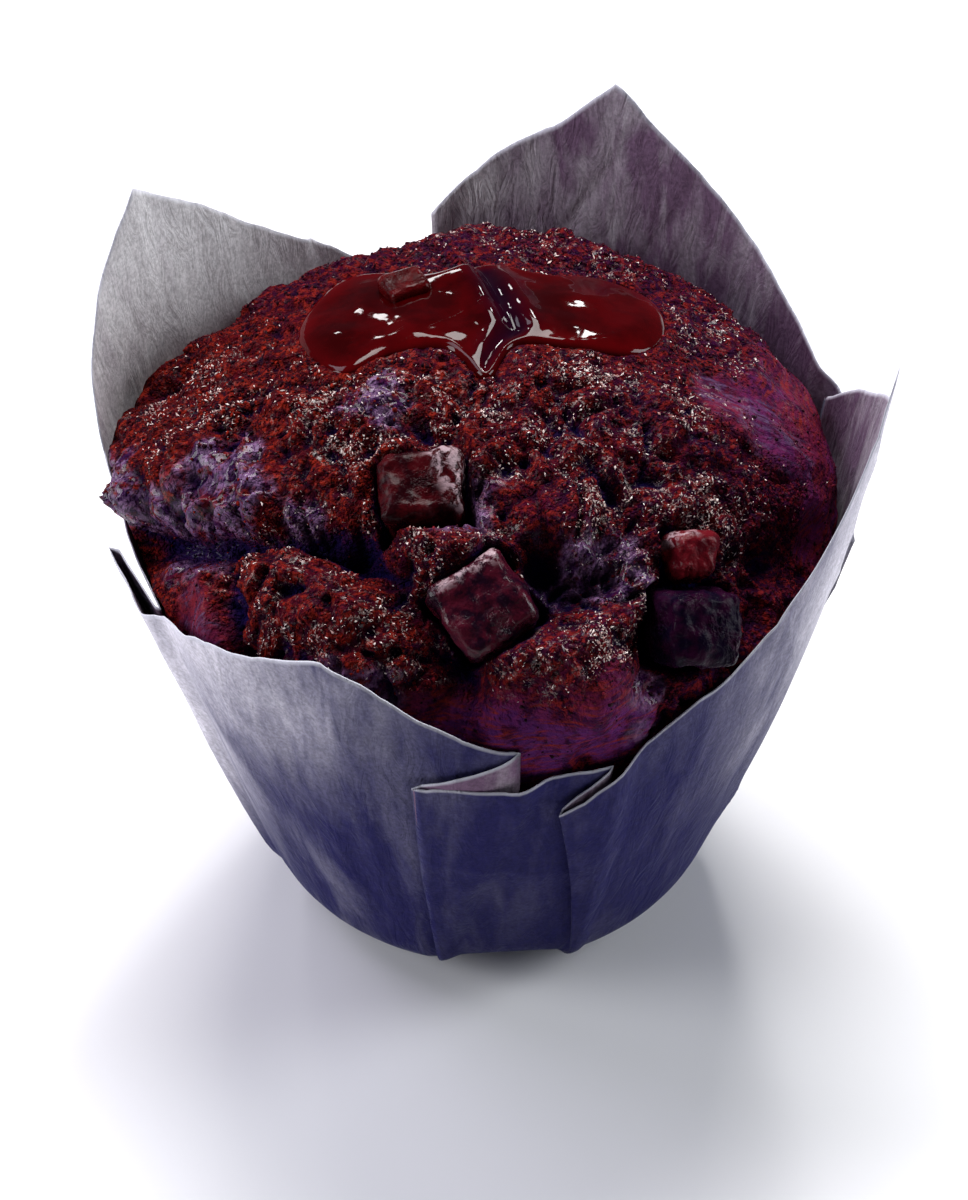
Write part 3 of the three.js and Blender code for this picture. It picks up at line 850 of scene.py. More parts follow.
@dataclass
class CaseForm:
    """Middle surface of the paper case, with the same values as the solids."""

    paper: float = 0.4
    gap: float = 0.3
    wall_r0: float = 22.6
    lower_flare: float = 0.345
    upper_flare: float = 0.17
    flare_z: float = 40.0
    flare_blend: float = 6.0
    base_round: float = 12.0
    pleat_full_z: float = 44.0
    floor_spread: float = 2.0
    stand_low: float = 0.7
    relax_deg: float = 5.5
    pleats: Tuple[Pleat, ...] = (
        Pleat(-3.0, 18.0, 2.0, 1.8),
        Pleat(86.0, 97.6, 92.0, 1.6),
        Pleat(192.0, 205.0, 196.0, 1.7),
        Pleat(258.4, 274.7, 255.3, 1.3),
        Pleat(280.0, 289.5, 290.8, 1.4),
    )
    rims: Tuple[Line, ...] = (
        ((-3, 46.5), (18, 54.4), (34, 60), (45, 64.6), (58, 70.8), (69.2, 76.2), (77, 70.8), (86.5, 66.5),
         (97.6, 59.8)),
        ((86, 52), (110.9, 55.7), (118.6, 59.6), (129, 64.9), (136, 69.2), (148.7, 76.2), (157, 71.4),
         (164, 67.5), (170, 62.5), (176, 56), (184, 52), (205, 50)),
        ((192, 52.8), (204, 50.4), (224, 56.5), (234, 58.5), (246.2, 62), (252, 60.2), (259.5, 55.6), (267.3, 52.4),
         (274.7, 50)),
        ((258.4, 45.6), (272, 45.6), (289.5, 45.8)),
        ((280, 40.6), (289.2, 44.8), (295.4, 48), (303.6, 51.4), (311, 53.2), (320, 57), (330, 64.5), (338, 71.5),
         (343.5, 77.5), (349, 70.5), (368.5, 60.5), (378, 54.5)),
    )

    def __post_init__(self) -> None:
        """Works out where the flat base, its round edge and the wall meet."""
        self.floor_z = self.paper / 2.0
        self.round_turn = math.atan2(1.0, self.lower_flare)
        self.round_length = self.base_round * self.round_turn
        self.round_top = self.floor_z + self.base_round * (1.0 - math.cos(self.round_turn))
        foot_radius = float(self.wall_radius(np.array(self.round_top)))
        self.flat_radius = foot_radius - self.base_round * math.sin(self.round_turn)

    def wall_radius(self, z: Array) -> Array:
        """Radius of the wall at a height."""
        bend = self.flare_blend * np.logaddexp(0.0, (z - self.flare_z) / self.flare_blend)
        return self.wall_r0 + self.lower_flare * z + (self.upper_flare - self.lower_flare) * bend

    def wall_slope(self, z: Array) -> Array:
        """Slope of the wall at a height."""
        bend = 1.0 / (1.0 + np.exp(-(z - self.flare_z) / self.flare_blend))
        return self.lower_flare + (self.upper_flare - self.lower_flare) * bend

    def station_at(self, z: Array) -> Array:
        """Station of a height on the wall."""
        return self.round_length + z - self.round_top

    def profile(self, station: Array) -> Tuple[Array, Array, Array, Array]:
        """Radius, height and outward normal at stations: the flat base below 0, its round edge, then the wall.

        Args:
            station: Distances in mm along the profile, from the edge of the flat base.

        Returns:
            Radii, heights, and the normals' outward and upward parts.
        """
        station = np.asarray(station, float)
        turn = np.clip(station / self.base_round, 0.0, self.round_turn)
        z_wall = self.round_top + station - self.round_length
        slope = self.wall_slope(z_wall)
        length = np.hypot(1.0, slope)
        on_wall = station >= self.round_length
        flat = station <= 0
        r = np.where(on_wall, self.wall_radius(z_wall), self.flat_radius + self.base_round * np.sin(turn))
        r = np.where(flat, self.flat_radius + station, r)
        z = np.where(on_wall, z_wall, self.floor_z + self.base_round * (1.0 - np.cos(turn)))
        nr = np.where(on_wall, 1.0 / length, np.sin(turn))
        nz = np.where(on_wall, -slope / length, -np.cos(turn))
        return r, z, nr, nz

    def swell(self, azimuth: Array, z: Array) -> Array:
        """How far the case stands out of its plain cone.

        Args:
            azimuth: Azimuths in degrees.
            z: Heights in mm.

        Returns:
            Distances in mm, below 0 where it is drawn in.
        """
        pushed = 1.6 * bell(degrees_apart(azimuth, 168.0), 12.0) * bell(z - 59.0, 8.0)
        drawn = 1.5 * bell(degrees_apart(azimuth, 196.0), 14.0) * bell(z - 40.0, 12.0)
        front = np.maximum(0.0, 1.0 - (degrees_apart(azimuth, 273.0) / 20.0) ** 2)
        flat = 1.1 * front * (1.0 - smooth((z - 4.0) / 30.0))
        return pushed - drawn - flat * smooth(z / 3.0)

    def on_wall(self, azimuth: Array, station: Array, offset: Array) -> Array:
        """Points at an offset from the case's middle surface.

        Args:
            azimuth: Azimuths in degrees.
            station: Stations along the profile in mm.
            offset: Distances outward in mm.

        Returns:
            Points in mm.
        """
        r, z, nr, nz = self.profile(station)
        out = offset + self.swell(azimuth, z)
        radius = r + nr * out
        turn = np.radians(azimuth)
        return np.stack([radius * np.cos(turn), radius * np.sin(turn), z + nz * out], axis=-1)

    def paper_top(self, azimuth: Array) -> Array:
        """Height of the tallest paper at azimuths.

        Args:
            azimuth: Azimuths in degrees.

        Returns:
            Heights in mm.
        """
        top = np.zeros_like(azimuth)
        for rim in self.rims:
            stops = np.array(rim, float)
            along = (azimuth - stops[0, 0]) % 360.0
            height = np.interp(along, stops[:, 0] - stops[0, 0], stops[:, 1], right=0.0)
            top = np.maximum(top, height)
        return top


@dataclass
class DomeForm:
    """Dome of the muffin before its relief."""

    case: CaseForm
    crown_z: float = 49.3
    rise: float = 21.6

    def __post_init__(self) -> None:
        """Works out the crown's radius."""
        self.off = -(self.case.paper / 2.0 + self.case.gap)
        self.crown_r = float(self.case.wall_radius(np.array(self.crown_z))) + self.off

    def height(self, radius: Array) -> Array:
        """Height of the dome at a radius."""
        t = np.minimum(1.0, radius / self.crown_r)
        return self.crown_z + self.rise * np.sqrt(1.0 - t * t)

    def normal(self, x: Array, y: Array) -> Array:
        """Outward normals of the dome.

        Args:
            x: Places along X in mm.
            y: Places along Y in mm.

        Returns:
            Vectors of length 1.
        """
        z = np.maximum(self.height(np.hypot(x, y)) - self.crown_z, 0.1)
        rows = np.stack([x / self.crown_r**2, y / self.crown_r**2, z / self.rise**2], axis=-1)
        return rows / np.linalg.norm(rows, axis=-1, keepdims=True)

    def point(self, x: Array, y: Array, lift: Array) -> Array:
        """Points over the dome, lifted along its normal.

        Args:
            x: Places along X in mm.
            y: Places along Y in mm.
            lift: Distances from the dome in mm.

        Returns:
            Points in mm.
        """
        x = np.asarray(x, float)
        y = np.asarray(y, float)
        plain = np.stack([x, y, self.height(np.hypot(x, y))], axis=-1)
        return plain + self.normal(x, y) * np.asarray(lift)[..., None]


@dataclass
class ChocolateChunk:
    """One chunk of chocolate, sunk into the dome."""

    name: str
    at: Tuple[float, float]
    size: Point
    turn: float
    lean: float
    rise: float
    seed: int
    finish: ChunkFinish
    segments: int = 34
    round_off: float = 1.25
    taper: float = 0.1
    worn: float = 1.0
    highlight_side: Point = (0.0, 0.5, 0.85)
    highlight_from: float = 4.4
    sunk: float = 2.0
    reach: float = 12.0

    def frame(self, dome: DomeForm) -> Tuple[Array, Array]:
        """Turning matrix and centre of the chunk.

        Args:
            dome: Dome that the chunk is sunk into.

        Returns:
            The matrix and the centre in mm.
        """
        x, y = np.array(self.at, float)
        normal = Vector(dome.normal(x, y))
        upright = Vector((0, 0, 1)).rotation_difference(normal).to_matrix()
        tip = Matrix.Rotation(math.radians(self.lean), 3, "X")
        spin = Matrix.Rotation(math.radians(self.turn), 3, "Z")
        matrix = np.array(upright @ tip @ spin)
        lift = self.rise - self.size[2] / 2 + self.sunk
        centre = dome.point(x, y, np.array(lift))
        return matrix, centre

    def distance(self, points: Array, dome: DomeForm) -> Array:
        """Distance in mm of points from the chunk's outline seen along its height.

        Args:
            points: Rows of x, y, z in mm.
            dome: Dome that the chunk is sunk into.

        Returns:
            Distances in mm, below 0 inside the outline.
        """
        matrix, centre = self.frame(dome)
        local = (points - centre) @ matrix
        over = np.abs(local[:, :2]) - np.array(self.size[:2]) / 2.0
        outside = np.linalg.norm(np.maximum(over, 0.0), axis=1)
        inside = np.minimum(np.maximum(over[:, 0], over[:, 1]), 0.0)
        far = np.linalg.norm(local, axis=1) > self.reach
        return np.where(far, FAR, outside + inside)

    def build(self, dome: DomeForm) -> Piece:
        """Makes the chunk with worn, half-melted edges.

        Args:
            dome: Dome that the chunk is sunk into.

        Returns:
            The piece.
        """
        n = self.segments
        half = np.array(self.size) / 2.0
        lines = np.linspace(-1.0, 1.0, n + 1)
        lines = np.sign(lines) * np.abs(lines) ** 0.8
        points: List[Array] = []
        faces: List[Array] = []
        start = 0
        for axis in range(3):
            for sign in (-1.0, 1.0):
                u, v = np.meshgrid(lines, lines, indexing="ij")
                block = np.zeros((n + 1, n + 1, 3))
                block[..., axis] = sign
                block[..., (axis + 1) % 3] = u
                block[..., (axis + 2) % 3] = v
                points.append(block.reshape(-1, 3))
                quads = square_faces(n + 1, start)
                faces.append(quads if sign > 0 else quads[:, ::-1])
                start += (n + 1) ** 2
        cube = np.concatenate(points) * half
        core = half - self.round_off
        inner = np.clip(cube, -core, core)
        out = unit_rows(cube - inner)
        body = inner + out * self.round_off
        shifted = body + self.seed * 31.0
        wear = 0.42 * fractal_noise(shifted, 3.4, 3) + 0.13 * fractal_noise(shifted + 50.0, 1.1, 2)
        corner = np.prod(np.abs(cube / half), axis=1)
        wear -= 0.35 * corner * (0.6 + 0.5 * smooth_noise(shifted, 2.2, 4.0))
        crumbed = smooth((smooth_noise(shifted, 2.6, 8.0) - 0.05) / 0.35)
        first, _, _ = cell_noise(shifted, 0.75)
        wear += 0.16 * crumbed * np.maximum(0.0, 0.6 - first)
        body = body + out * (self.worn * wear)[:, None]
        narrow = 1.0 - self.taper * np.clip(0.5 - body[:, 1] / self.size[1], 0.0, 1.0)
        body[:, 0] *= narrow
        body[:, 0] += 0.35 * smooth_noise(np.full((1, 3), self.seed * 5.3), 1.0)[0] * body[:, 1] / half[1]
        matrix, centre = self.frame(dome)
        world = body @ matrix.T + centre
        # Painted highlight: mask of the chunk's side that faces the light, where pale patches are painted.
        painted_highlight_mask = smooth(((world - centre) @ np.array(self.highlight_side) - self.highlight_from) / 1.6)
        values = {"crumbed": crumbed * self.worn, "painted_highlight_mask": painted_highlight_mask}
        piece = make_piece(self.name, world, np.concatenate(faces), self.finish.build(), values)
        weld(piece)
        return dress(piece, Slot.CHUNK, self.name.replace("melted_", ""))


def weld(piece: Piece) -> None:
    """Merges the vertices of a piece that lie on each other and turns its faces outward.

    Args:
        piece: The piece.
    """
    mesh = bmesh.new()
    mesh.from_mesh(piece.data)
    bmesh.ops.remove_doubles(mesh, verts=mesh.verts, dist=WELD_MM * MM)
    bmesh.ops.recalc_face_normals(mesh, faces=mesh.faces)
    mesh.to_mesh(piece.data)
    mesh.free()


@dataclass
class SaucePool:
    """Pool of sauce on top of the dome, in two lobes with a fold between them and a short run at the front."""

    dome: DomeForm
    centre: Tuple[float, float] = (0.4, 7.0)
    outline: Line = (
        (19.2, 6.8), (18.2, 12.4), (12.7, 15.4), (6.9, 15), (1.1, 17), (-4.2, 15), (-13.2, 18), (-17.8, 13), (-19, 6),
        (-14.6, -1), (-9.2, 0.8), (-3.6, 0.4), (0.4, -4.6), (3.6, 0.6), (9, 0.9), (15.8, 1.6),
    )
    rim_steps: int = 240
    sides: int = 420
    rings: int = 56
    depth: float = 1.25
    height: float = 0.95
    meniscus: float = 0.7
    fold: Line = ((-0.2, 17.0), (1.0, 12.0), (2.0, 8.6), (3.5, 3.2), (1.0, -3.4))
    swell: Line = ((-3.4, 15.5), (-0.8, 10.5), (1.8, 6.2))
    lower_rings: int = 6
    sunk: float = 0.15

    def curve(self, count: int) -> Array:
        """Smooth closed outline with a number of points.

        Args:
            count: Number of points.

        Returns:
            Rows of x, y in mm.
        """
        knots = np.array(self.outline)
        n = len(knots)
        t = np.arange(count) * n / count
        base = np.floor(t).astype(int)
        f = (t - base)[:, None]
        p0, p1, p2, p3 = (knots[(base + k) % n] for k in (-1, 0, 1, 2))
        square = (2 * p0 - 5 * p1 + 4 * p2 - p3) * f**2
        return 0.5 * (2 * p1 + (p2 - p0) * f + square + (3 * p1 - p0 - 3 * p2 + p3) * f**3)

    def inside(self, xy: Array) -> Array:
        """Distance in mm to the outline, positive inside it.

        Args:
            xy: Rows of x, y in mm.

        Returns:
            One distance for each row.
        """
        rim = self.curve(self.rim_steps)
        nearest = line_distance(xy, [*rim, rim[0]])
        crossings = np.zeros(len(xy), int)
        for a, b in zip(rim, np.roll(rim, -1, axis=0)):
            leg = b - a
            spans = (a[1] > xy[:, 1]) != (b[1] > xy[:, 1])
            if abs(leg[1]) > TINY:
                at = a[0] + (xy[:, 1] - a[1]) / leg[1] * leg[0]
                crossings += (spans & (xy[:, 0] < at)).astype(int)
        return np.where(crossings % 2 == 1, nearest, -nearest)

    def surface(self, xy: Array) -> Array:
        """Lift of the sauce's skin over the dome.

        Args:
            xy: Rows of x, y in mm.

        Returns:
            One lift in mm for each row.
        """
        deep = np.maximum(self.inside(xy), 0.0)
        wide = self.meniscus + 5.4 * near_place(xy, (-16.5, 3.0), 5.5) + 2.8 * near_place(xy, (17.0, 4.2), 3.6)
        edge = np.clip(deep / wide, 0.0, 1.0)
        lift = self.height * np.sqrt(1.0 - (1.0 - edge) ** 2)
        flat = np.concatenate([xy, np.zeros((len(xy), 1))], axis=1)
        fold = line_distance(xy, self.fold)
        inner = smooth(deep / 3.0)
        lift -= 1.15 * bell(fold, 0.9) * inner
        lift += 0.35 * bell(fold - 1.9, 0.8) * inner
        swell = 0.85 + 0.6 * smooth((xy[:, 1] - 6.0) / 7.0)
        lift += swell * bell(line_distance(xy, self.swell), 2.3) * inner
        lift += 0.30 * smooth_noise(flat, 5.5, 3.0) * inner + 0.12 * smooth_noise(flat, 2.4, 1.0) * inner
        return lift

    def build(self) -> Piece:
        """Makes the pool as one closed skin.

        Returns:
            The piece.
        """
        rim = self.curve(self.sides)
        t = np.sin(np.linspace(0.0, 1.0, self.rings + 1)[1:] * math.pi / 2.0)
        centre = np.array(self.centre)
        xy = (centre + (rim - centre)[None] * t[:, None, None]).reshape(-1, 2)
        top = self.dome.point(xy[:, 0], xy[:, 1], self.surface(xy) - self.sunk)
        tl = np.sin(np.linspace(0.0, 1.0, self.lower_rings + 1)[1:-1] * math.pi / 2.0)
        low_xy = (centre + (rim - centre)[None] * tl[:, None, None]).reshape(-1, 2)
        sink = -self.depth * np.sqrt(1.0 - np.repeat(tl, self.sides) ** 2) - 0.2
        low = self.dome.point(low_xy[:, 0], low_xy[:, 1], sink)
        poles = np.stack([
            self.dome.point(centre[0], centre[1], self.surface(centre[None])[0] - self.sunk),
            self.dome.point(centre[0], centre[1], np.array(-self.depth)),
        ])
        points = np.concatenate([top, low, poles])
        s = self.sides
        top_pole = len(points) - 2
        low_start = len(top)
        faces: List[Sequence[int]] = list(grid_faces(self.rings, s))
        faces += [[top_pole, i, (i + 1) % s] for i in range(s)]
        faces += list(grid_faces(self.lower_rings - 1, s, low_start, True))
        faces += [[low_start + (i + 1) % s, low_start + i, top_pole + 1] for i in range(s)]
        edge = (self.rings - 1) * s
        last = low_start + (self.lower_rings - 2) * s
        faces += [[edge + i, last + i, last + (i + 1) % s, edge + (i + 1) % s] for i in range(s)]
        deep = np.maximum(self.inside(points[:, :2]), 0.0)
        thin = 1.0 - smooth(deep / 2.6)
        # Painted reflection: mask of the dark band along the fold.
        fold_reflection = bell(line_distance(points[:, :2], self.fold), 1.3) * smooth(deep / 2.0)
        piece = make_piece("sauce", points, faces, SauceFinish().build(), {"thin": thin, "fold_reflection": fold_reflection})
        weld(piece)
        return dress(piece, Slot.SAUCE, "sauce_pool")


@dataclass(frozen=True)
class Lobe:
    """A rounded rise of the crust, or a pit where it is taken away."""

    at: Point
    rise: float
    spread: float

    def bulge(self, points: Array) -> Array:
        """Rise of the crust in mm at points."""
        return self.rise * near_place(points, self.at, self.spread)


def lobes_of(*rows: Sequence[float]) -> Tuple[Lobe, ...]:
    """Makes lobes from rows of x, y, z, rise and spread."""
    return tuple(Lobe(row[:3], row[3], row[4]) for row in rows)


@dataclass(frozen=True)
class Crack:
    """A groove of the crust along a run of points, or a ridge where its depth is below 0."""

    run: Tuple[Point, ...]
    depth: float
    spread: float

    def groove(self, points: Array) -> Array:
        """Depth of the groove in mm at points."""
        return self.depth * bell(line_distance(points, self.run), self.spread)


@dataclass(frozen=True)
class Ledge:
    """A part of the crust that leans out over what is below it."""

    at: Point
    shift: Point
    spread: float


@dataclass
class CrustSheet:
    """The crust's grid of points, kept for what is scattered on it."""

    points: Array
    quads: Array
    values: Dict[str, Array]


@dataclass
class MuffinBody:
    """Body of the muffin: a plain lower part in the paper and a craggy dome over it."""

    dome: DomeForm
    sauce: SaucePool
    chunks: Sequence[ChocolateChunk]
    cells: int = 284
    side_down_to: float = 42.5
    skirt_rows: int = 7
    lobes: Tuple[Lobe, ...] = lobes_of(
        (-39, 1, 55, 4.2, 5.5), (-33, 14, 58, 1.8, 5), (-27, -6, 64, 1.6, 5), (-25, -24, 57, 1.6, 4.5),
        (-18, -28, 58, 2.4, 5), (-10, -31, 59, 1.6, 4.5), (11, -33, 57, 2.2, 4.5), (5, -35, 56, 1, 5),
        (3, 31, 62, 2.4, 5), (-17, 26, 61, 1, 8), (20, 25, 61, 0.5, 7), (-6, -24.5, 65.5, 0.8, 3),
        (28, -24, 57, 1.2, 4), (22, -10, 66, 0.8, 7), (8, -15, 69, 0.8, 6),
    )
    cracks: Tuple[Crack, ...] = (
        Crack(((-36, -8, 53), (-27, -16, 61), (-19, -18.5, 64.6), (-14, -21, 65)), 4.2, 2.3),
        Crack(((-14, -21, 65), (-9, -26, 64), (-5, -33, 59), (-1, -35, 56)), 3.2, 2.1),
        Crack(((5, -24, 65), (9, -28, 62.5), (14, -26, 62.5), (17, -28, 60)), 3.0, 2.2),
        Crack(((-21.5, -23, 60), (-21, -30, 55)), 1.8, 1.6),
        Crack(((30, -19, 57), (34, -12, 54)), 2.4, 2.6),
        Crack(((-30, 22, 56), (-22, 26, 60)), 1.4, 2.0),
    )
    knobs: Tuple[Lobe, ...] = lobes_of(
        (-18.4, -20.5, 64, 1.6, 1.9), (-22, -21.8, 61.5, 1.4, 2.8), (-14.4, -28, 61, 1.3, 2.8),
        (-8.5, -31, 60.2, 0.9, 2.2), (27.6, -23.9, 53.5, 1.4, 2.2), (7, -3.1, 70.8, 0.9, 2.4),
        (11.9, -6.7, 69.8, 0.8, 2.2), (-35.6, 13.2, 56.7, 1.8, 2.4), (-38.4, 7.2, 55, 1.5, 2.8),
        (-32, -4.6, 60.3, 0.9, 2.4), (-22, -13, 65, 0.8, 2.4), (-11, -7, 70, 0.7, 2.0), (17.5, -19.5, 64.8, 1.0, 2.4),
        (24, -13.5, 64.2, 0.8, 2.6), (-1, 23, 66.4, 0.9, 2.5), (9, 24.5, 65, 0.9, 2.4), (16, 22, 64.2, 0.7, 2.2),
        (24, 12, 64, 0.6, 2.4), (-24, 10, 64, 0.6, 3.0),
    )
    ridges: Tuple[Crack, ...] = (
        Crack(((-9, -23.4, 65.6), (-4, -24.9, 65.5), (0, -24.6, 65.8)), -1.4, 1.3),
        Crack(((3.2, -33, 59.2), (7.2, -31.4, 60.3), (12.2, -29, 61.2), (16.6, -26.6, 61.4)), -1.7, 1.7),
        Crack(((9, -14, 68.8), (13.8, -11.7, 68.5), (18, -8, 67.5)), -0.9, 1.8),
    )
    small_cracks: Tuple[Crack, ...] = (
        Crack(((-35.8, -7.4, 53.3), (-31.6, -13.6, 57.6), (-27.8, -17.4, 59.8), (-24.6, -18.2, 62)), 1.6, 1.5),
        Crack(((-19.4, -19, 64.3), (-15.4, -21.5, 64.8), (-12.9, -23.3, 64.7)), 2.0, 1.3),
        Crack(
            ((-11.9, -24.9, 64.1), (-8.4, -27.7, 63.1), (-5.5, -30, 61.9), (-4.6, -32.6, 59.6), (-1.7, -34.6, 57.3)),
            1.4, 1.3),
        Crack(((5.9, -25.4, 65), (6.3, -27.3, 63.8), (9.8, -28, 62.6), (7.0, -29.6, 61.9)), 2.6, 1.7),
        Crack(((-25.8, -21.5, 58.8), (-24.9, -24, 57), (-24.3, -27, 54), (-23.6, -29, 51)), 4.2, 1.1),
        Crack(((15.4, -30.6, 58), (17, -32.6, 54)), 2.4, 1.3),
        Crack(((26.6, -24, 55.3), (25.2, -20.4, 60.2), (29.9, -17.6, 57.3)), 2.0, 1.3),
        Crack(((-12, -12, 69), (-16, -17, 66.5), (-18, -20, 64)), 1.6, 0.9),
        Crack(((-24, -2, 66), (-26, -8, 64.5), (-31, -10, 60)), 1.8, 1.0),
        Crack(((-38, 11, 53), (-36, 10.5, 56), (-32.5, 9, 59.5)), 3.2, 1.0),
        Crack(((11, -15, 69), (14, -20, 66), (12, -24, 64.6)), 1.4, 1.0),
        Crack(((-16, -30, 57), (-13, -34, 53)), 1.6, 0.9),
        Crack(((6, 20.5, 67), (13, 20, 65.5), (19, 17, 64.5)), 1.5, 0.9),
        Crack(((-8, 21, 66.5), (-2, 22, 66.5)), 0.9, 0.8),
    )
    pits: Tuple[Lobe, ...] = lobes_of(
        (-22.6, -8.5, 66.1, 1.8, 0.8), (-24.7, -10.5, 64.5, 2.0, 0.9), (-17.3, -14.7, 66.7, 1.6, 0.8),
        (-15.4, -9.3, 68.5, 1.2, 0.7), (-28.5, -12, 61.8, 1.4, 0.8), (-33.5, -6.5, 58.8, 1.2, 0.7),
        (7.8, -11.4, 69.7, 1.2, 1.8), (15.7, -14.8, 67.2, 1.4, 1.5), (-6.4, -9.4, 70.3, 1.0, 1.3),
        (21, -12, 65.6, 1.2, 0.8), (-3, -13, 69.9, 1.6, 1.4), (3.5, -15.6, 69, 1.5, 1.3),
        (-19.5, -24.8, 60.8, 1.6, 0.9), (-17, -31, 56.5, 1.4, 0.8),
    )
    ledges: Tuple[Ledge, ...] = (
        Ledge((-36, -3.5, 57), (-1.4, -1.0, -0.8), 3.2), Ledge((-30, -9, 61), (-0.9, -1.7, -0.9), 3.6),
        Ledge((-22, -14, 65), (-0.5, -1.9, -0.8), 3.4), Ledge((-15.5, -17.6, 66.4), (-0.2, -1.6, -0.7), 2.6),
        Ledge((4, -22, 67), (0.5, -1.4, -0.5), 3.0), Ledge((11, -24, 65.2), (-0.2, -1.6, -0.5), 3.0),
    )
    torn_spots: Tuple[Spot, ...] = (
        (-33, -8.5, 58), (-29, -14.7, 60), (-37.5, 1.5, 52.8), (-25, -12.4, 64), (-10.5, -6.4, 70),
        (-34.6, -8.2, 55.8), (-31, -9.8, 60.1), (-28.5, -16.1, 59.8), (-27.4, -7.4, 63.5, 2.2), (-32.7, -12.5, 57),
        (-24.2, -8.3, 65.3, 1.8), (-36, -3, 56), (-18.4, -16.7, 65.7, 1.6), (16.1, -32.7, 53.7, 1.7),
        (15.1, -34, 49, 1.5), (8, -25.6, 64.6), (13, -25, 63.6), (-12, -34, 55), (-2, -20.5, 67.6),
    )
    torn_reach: float = 2.9
    skin_spots: Tuple[Spot, ...] = (
        (32, 0, 59, 7), (34, 9, 55, 7), (36, -6, 53, 6), (-29, -21.5, 54, 3.4), (3, -36.5, 50, 5), (12, -35, 51, 5),
        (-6, -36, 52, 4), (29, -3, 62, 4), (26, -1, 65, 3.5),
    )
    # Painted sheen: spots where violet sheen streaks are painted.
    brushed_sheen_spots: Tuple[Spot, ...] = (
        (26, -1, 65, 4), (29, -3, 62.5, 4), (31, -6, 60.5, 4), (-28.6, -21.8, 53.6, 3.0),
    )
    glint_spots: Tuple[Point, ...] = (
        (7, -3.1, 70.8), (11.9, -6.7, 69.8), (14, -13, 68), (20.6, -16.7, 64.7), (-1.2, -7.7, 70.8),
        (-8.5, -31.4, 59.9), (11.2, -30.6, 60), (6.2, -32.6, 59.3), (17.3, -26.1, 61.2), (-18.4, -20.8, 63.9),
        (-13.5, -31.7, 57.6), (-19.5, -28.5, 57.5), (3.7, -12.9, 69.8), (11.8, -10.8, 69.2), (20.2, -4.3, 67.6),
        (10.7, -14.7, 68.5), (15.6, -18.2, 66.1), (-13.4, -8.5, 69.2), (-4.3, -8.8, 70.5), (-15.5, -5.1, 69.1),
        (-29.5, 3.3, 62.6), (2.2, 26.3, 64.8), (23.2, 12.4, 64.9), (15.1, 21, 65.1), (-2, -24.8, 65.6),
    )
    basin: float = 1.55
    rim_rise: float = 0.25
    chunk_stands: float = 1.6
    hold_above: float = 1.6
    sheet: Optional[CrustSheet] = None

    def _disc(self) -> Tuple[Array, Array]:
        """Square grid bent to a disc: azimuth and distance from the middle, 0 to 1.

        Returns:
            Azimuths in radians and distances.
        """
        line = np.linspace(-1.0, 1.0, self.cells + 1)
        a, b = np.meshgrid(line, line, indexing="ij")
        wide = np.abs(a) > np.abs(b)
        radius = np.where(wide, a, b)
        safe = np.where(radius == 0, 1.0, radius)
        angle = np.where(wide, math.pi / 4 * b / safe, math.pi / 2 - math.pi / 4 * a / safe)
        angle = np.where(radius < 0, angle + math.pi, angle)
        return angle.ravel(), np.abs(radius).ravel()

    def _plain(self, azimuth: Array, reach: Array) -> Tuple[Array, Array]:
        """Points and outward normals of the plain dome and the upper side below it.

        Args:
            azimuth: Azimuths in radians.
            reach: Distances from the top as shares of the whole, 0 to 1.

        Returns:
            Points in mm and vectors of length 1.
        """
        turn = np.linspace(0.0, math.pi / 2, 2000)
        r = self.dome.crown_r * np.sin(turn)
        z = self.dome.crown_z + self.dome.rise * np.cos(turn)
        arc = np.concatenate([[0.0], np.cumsum(np.hypot(np.diff(r), np.diff(z)))])
        side = self.dome.crown_z - self.side_down_to
        length = arc[-1] + side
        s = reach * length
        on_dome = s <= arc[-1]
        radius = np.where(on_dome, np.interp(s, arc, r), 0.0)
        x = radius * np.cos(azimuth)
        y = radius * np.sin(azimuth)
        dome = self.dome.point(x, y, np.zeros(len(x)))
        dome_normal = self.dome.normal(x, y)
        height = self.dome.crown_z - (s - arc[-1])
        case = self.dome.case
        wall = case.on_wall(np.degrees(azimuth), case.station_at(height), self.dome.off)
        wall_normal = np.stack([np.cos(azimuth), np.sin(azimuth), np.zeros(len(azimuth))], axis=1)
        points = np.where(on_dome[:, None], dome, wall)
        normals = np.where(on_dome[:, None], dome_normal, wall_normal)
        return points, unit_rows(normals)

    def _relief(self, p: Array) -> Array:
        """Height of the crust's main forms, the same as in the solid.

        Args:
            p: Points of the plain dome in mm.

        Returns:
            One height in mm for each point.
        """
        height = np.zeros(len(p))
        for lobe in self.lobes:
            height += lobe.bulge(p)
        for crack in self.cracks:
            height -= crack.groove(p)
        height += 0.9 * smooth_noise(p, 5.0) + 0.45 * smooth_noise(p, 2.6, 9.0)
        reach = np.hypot((p[:, 0] - self.sauce.centre[0]) / 21.0, (p[:, 1] - self.sauce.centre[1]) / 12.0)
        calm = 1.0 - smooth((1.25 - reach) / 0.5)
        return height * calm * smooth((p[:, 2] - 44.0) / 8.0)

    def _spots(
        self, p: Array, spots: Sequence[Spot], reach: float, ragged: float, wave: float
    ) -> Array:
        """Ragged-edged mask of round spots.

        Args:
            p: Points of the plain dome in mm.
            spots: Middle of each spot, and its spread where it has its own.
            reach: Spread of the others in mm.
            ragged: How far noise moves the edge.
            wave: Size of that noise in mm.

        Returns:
            The mask, from 0 to 1.
        """
        mask = np.zeros(len(p))
        for spot in spots:
            spread = spot[3] if len(spot) > 3 else reach
            mask = np.maximum(mask, near_place(p, spot[:3], spread))
        return smooth((mask - 0.3 + ragged * fractal_noise(p, wave, 3)) / 0.35)

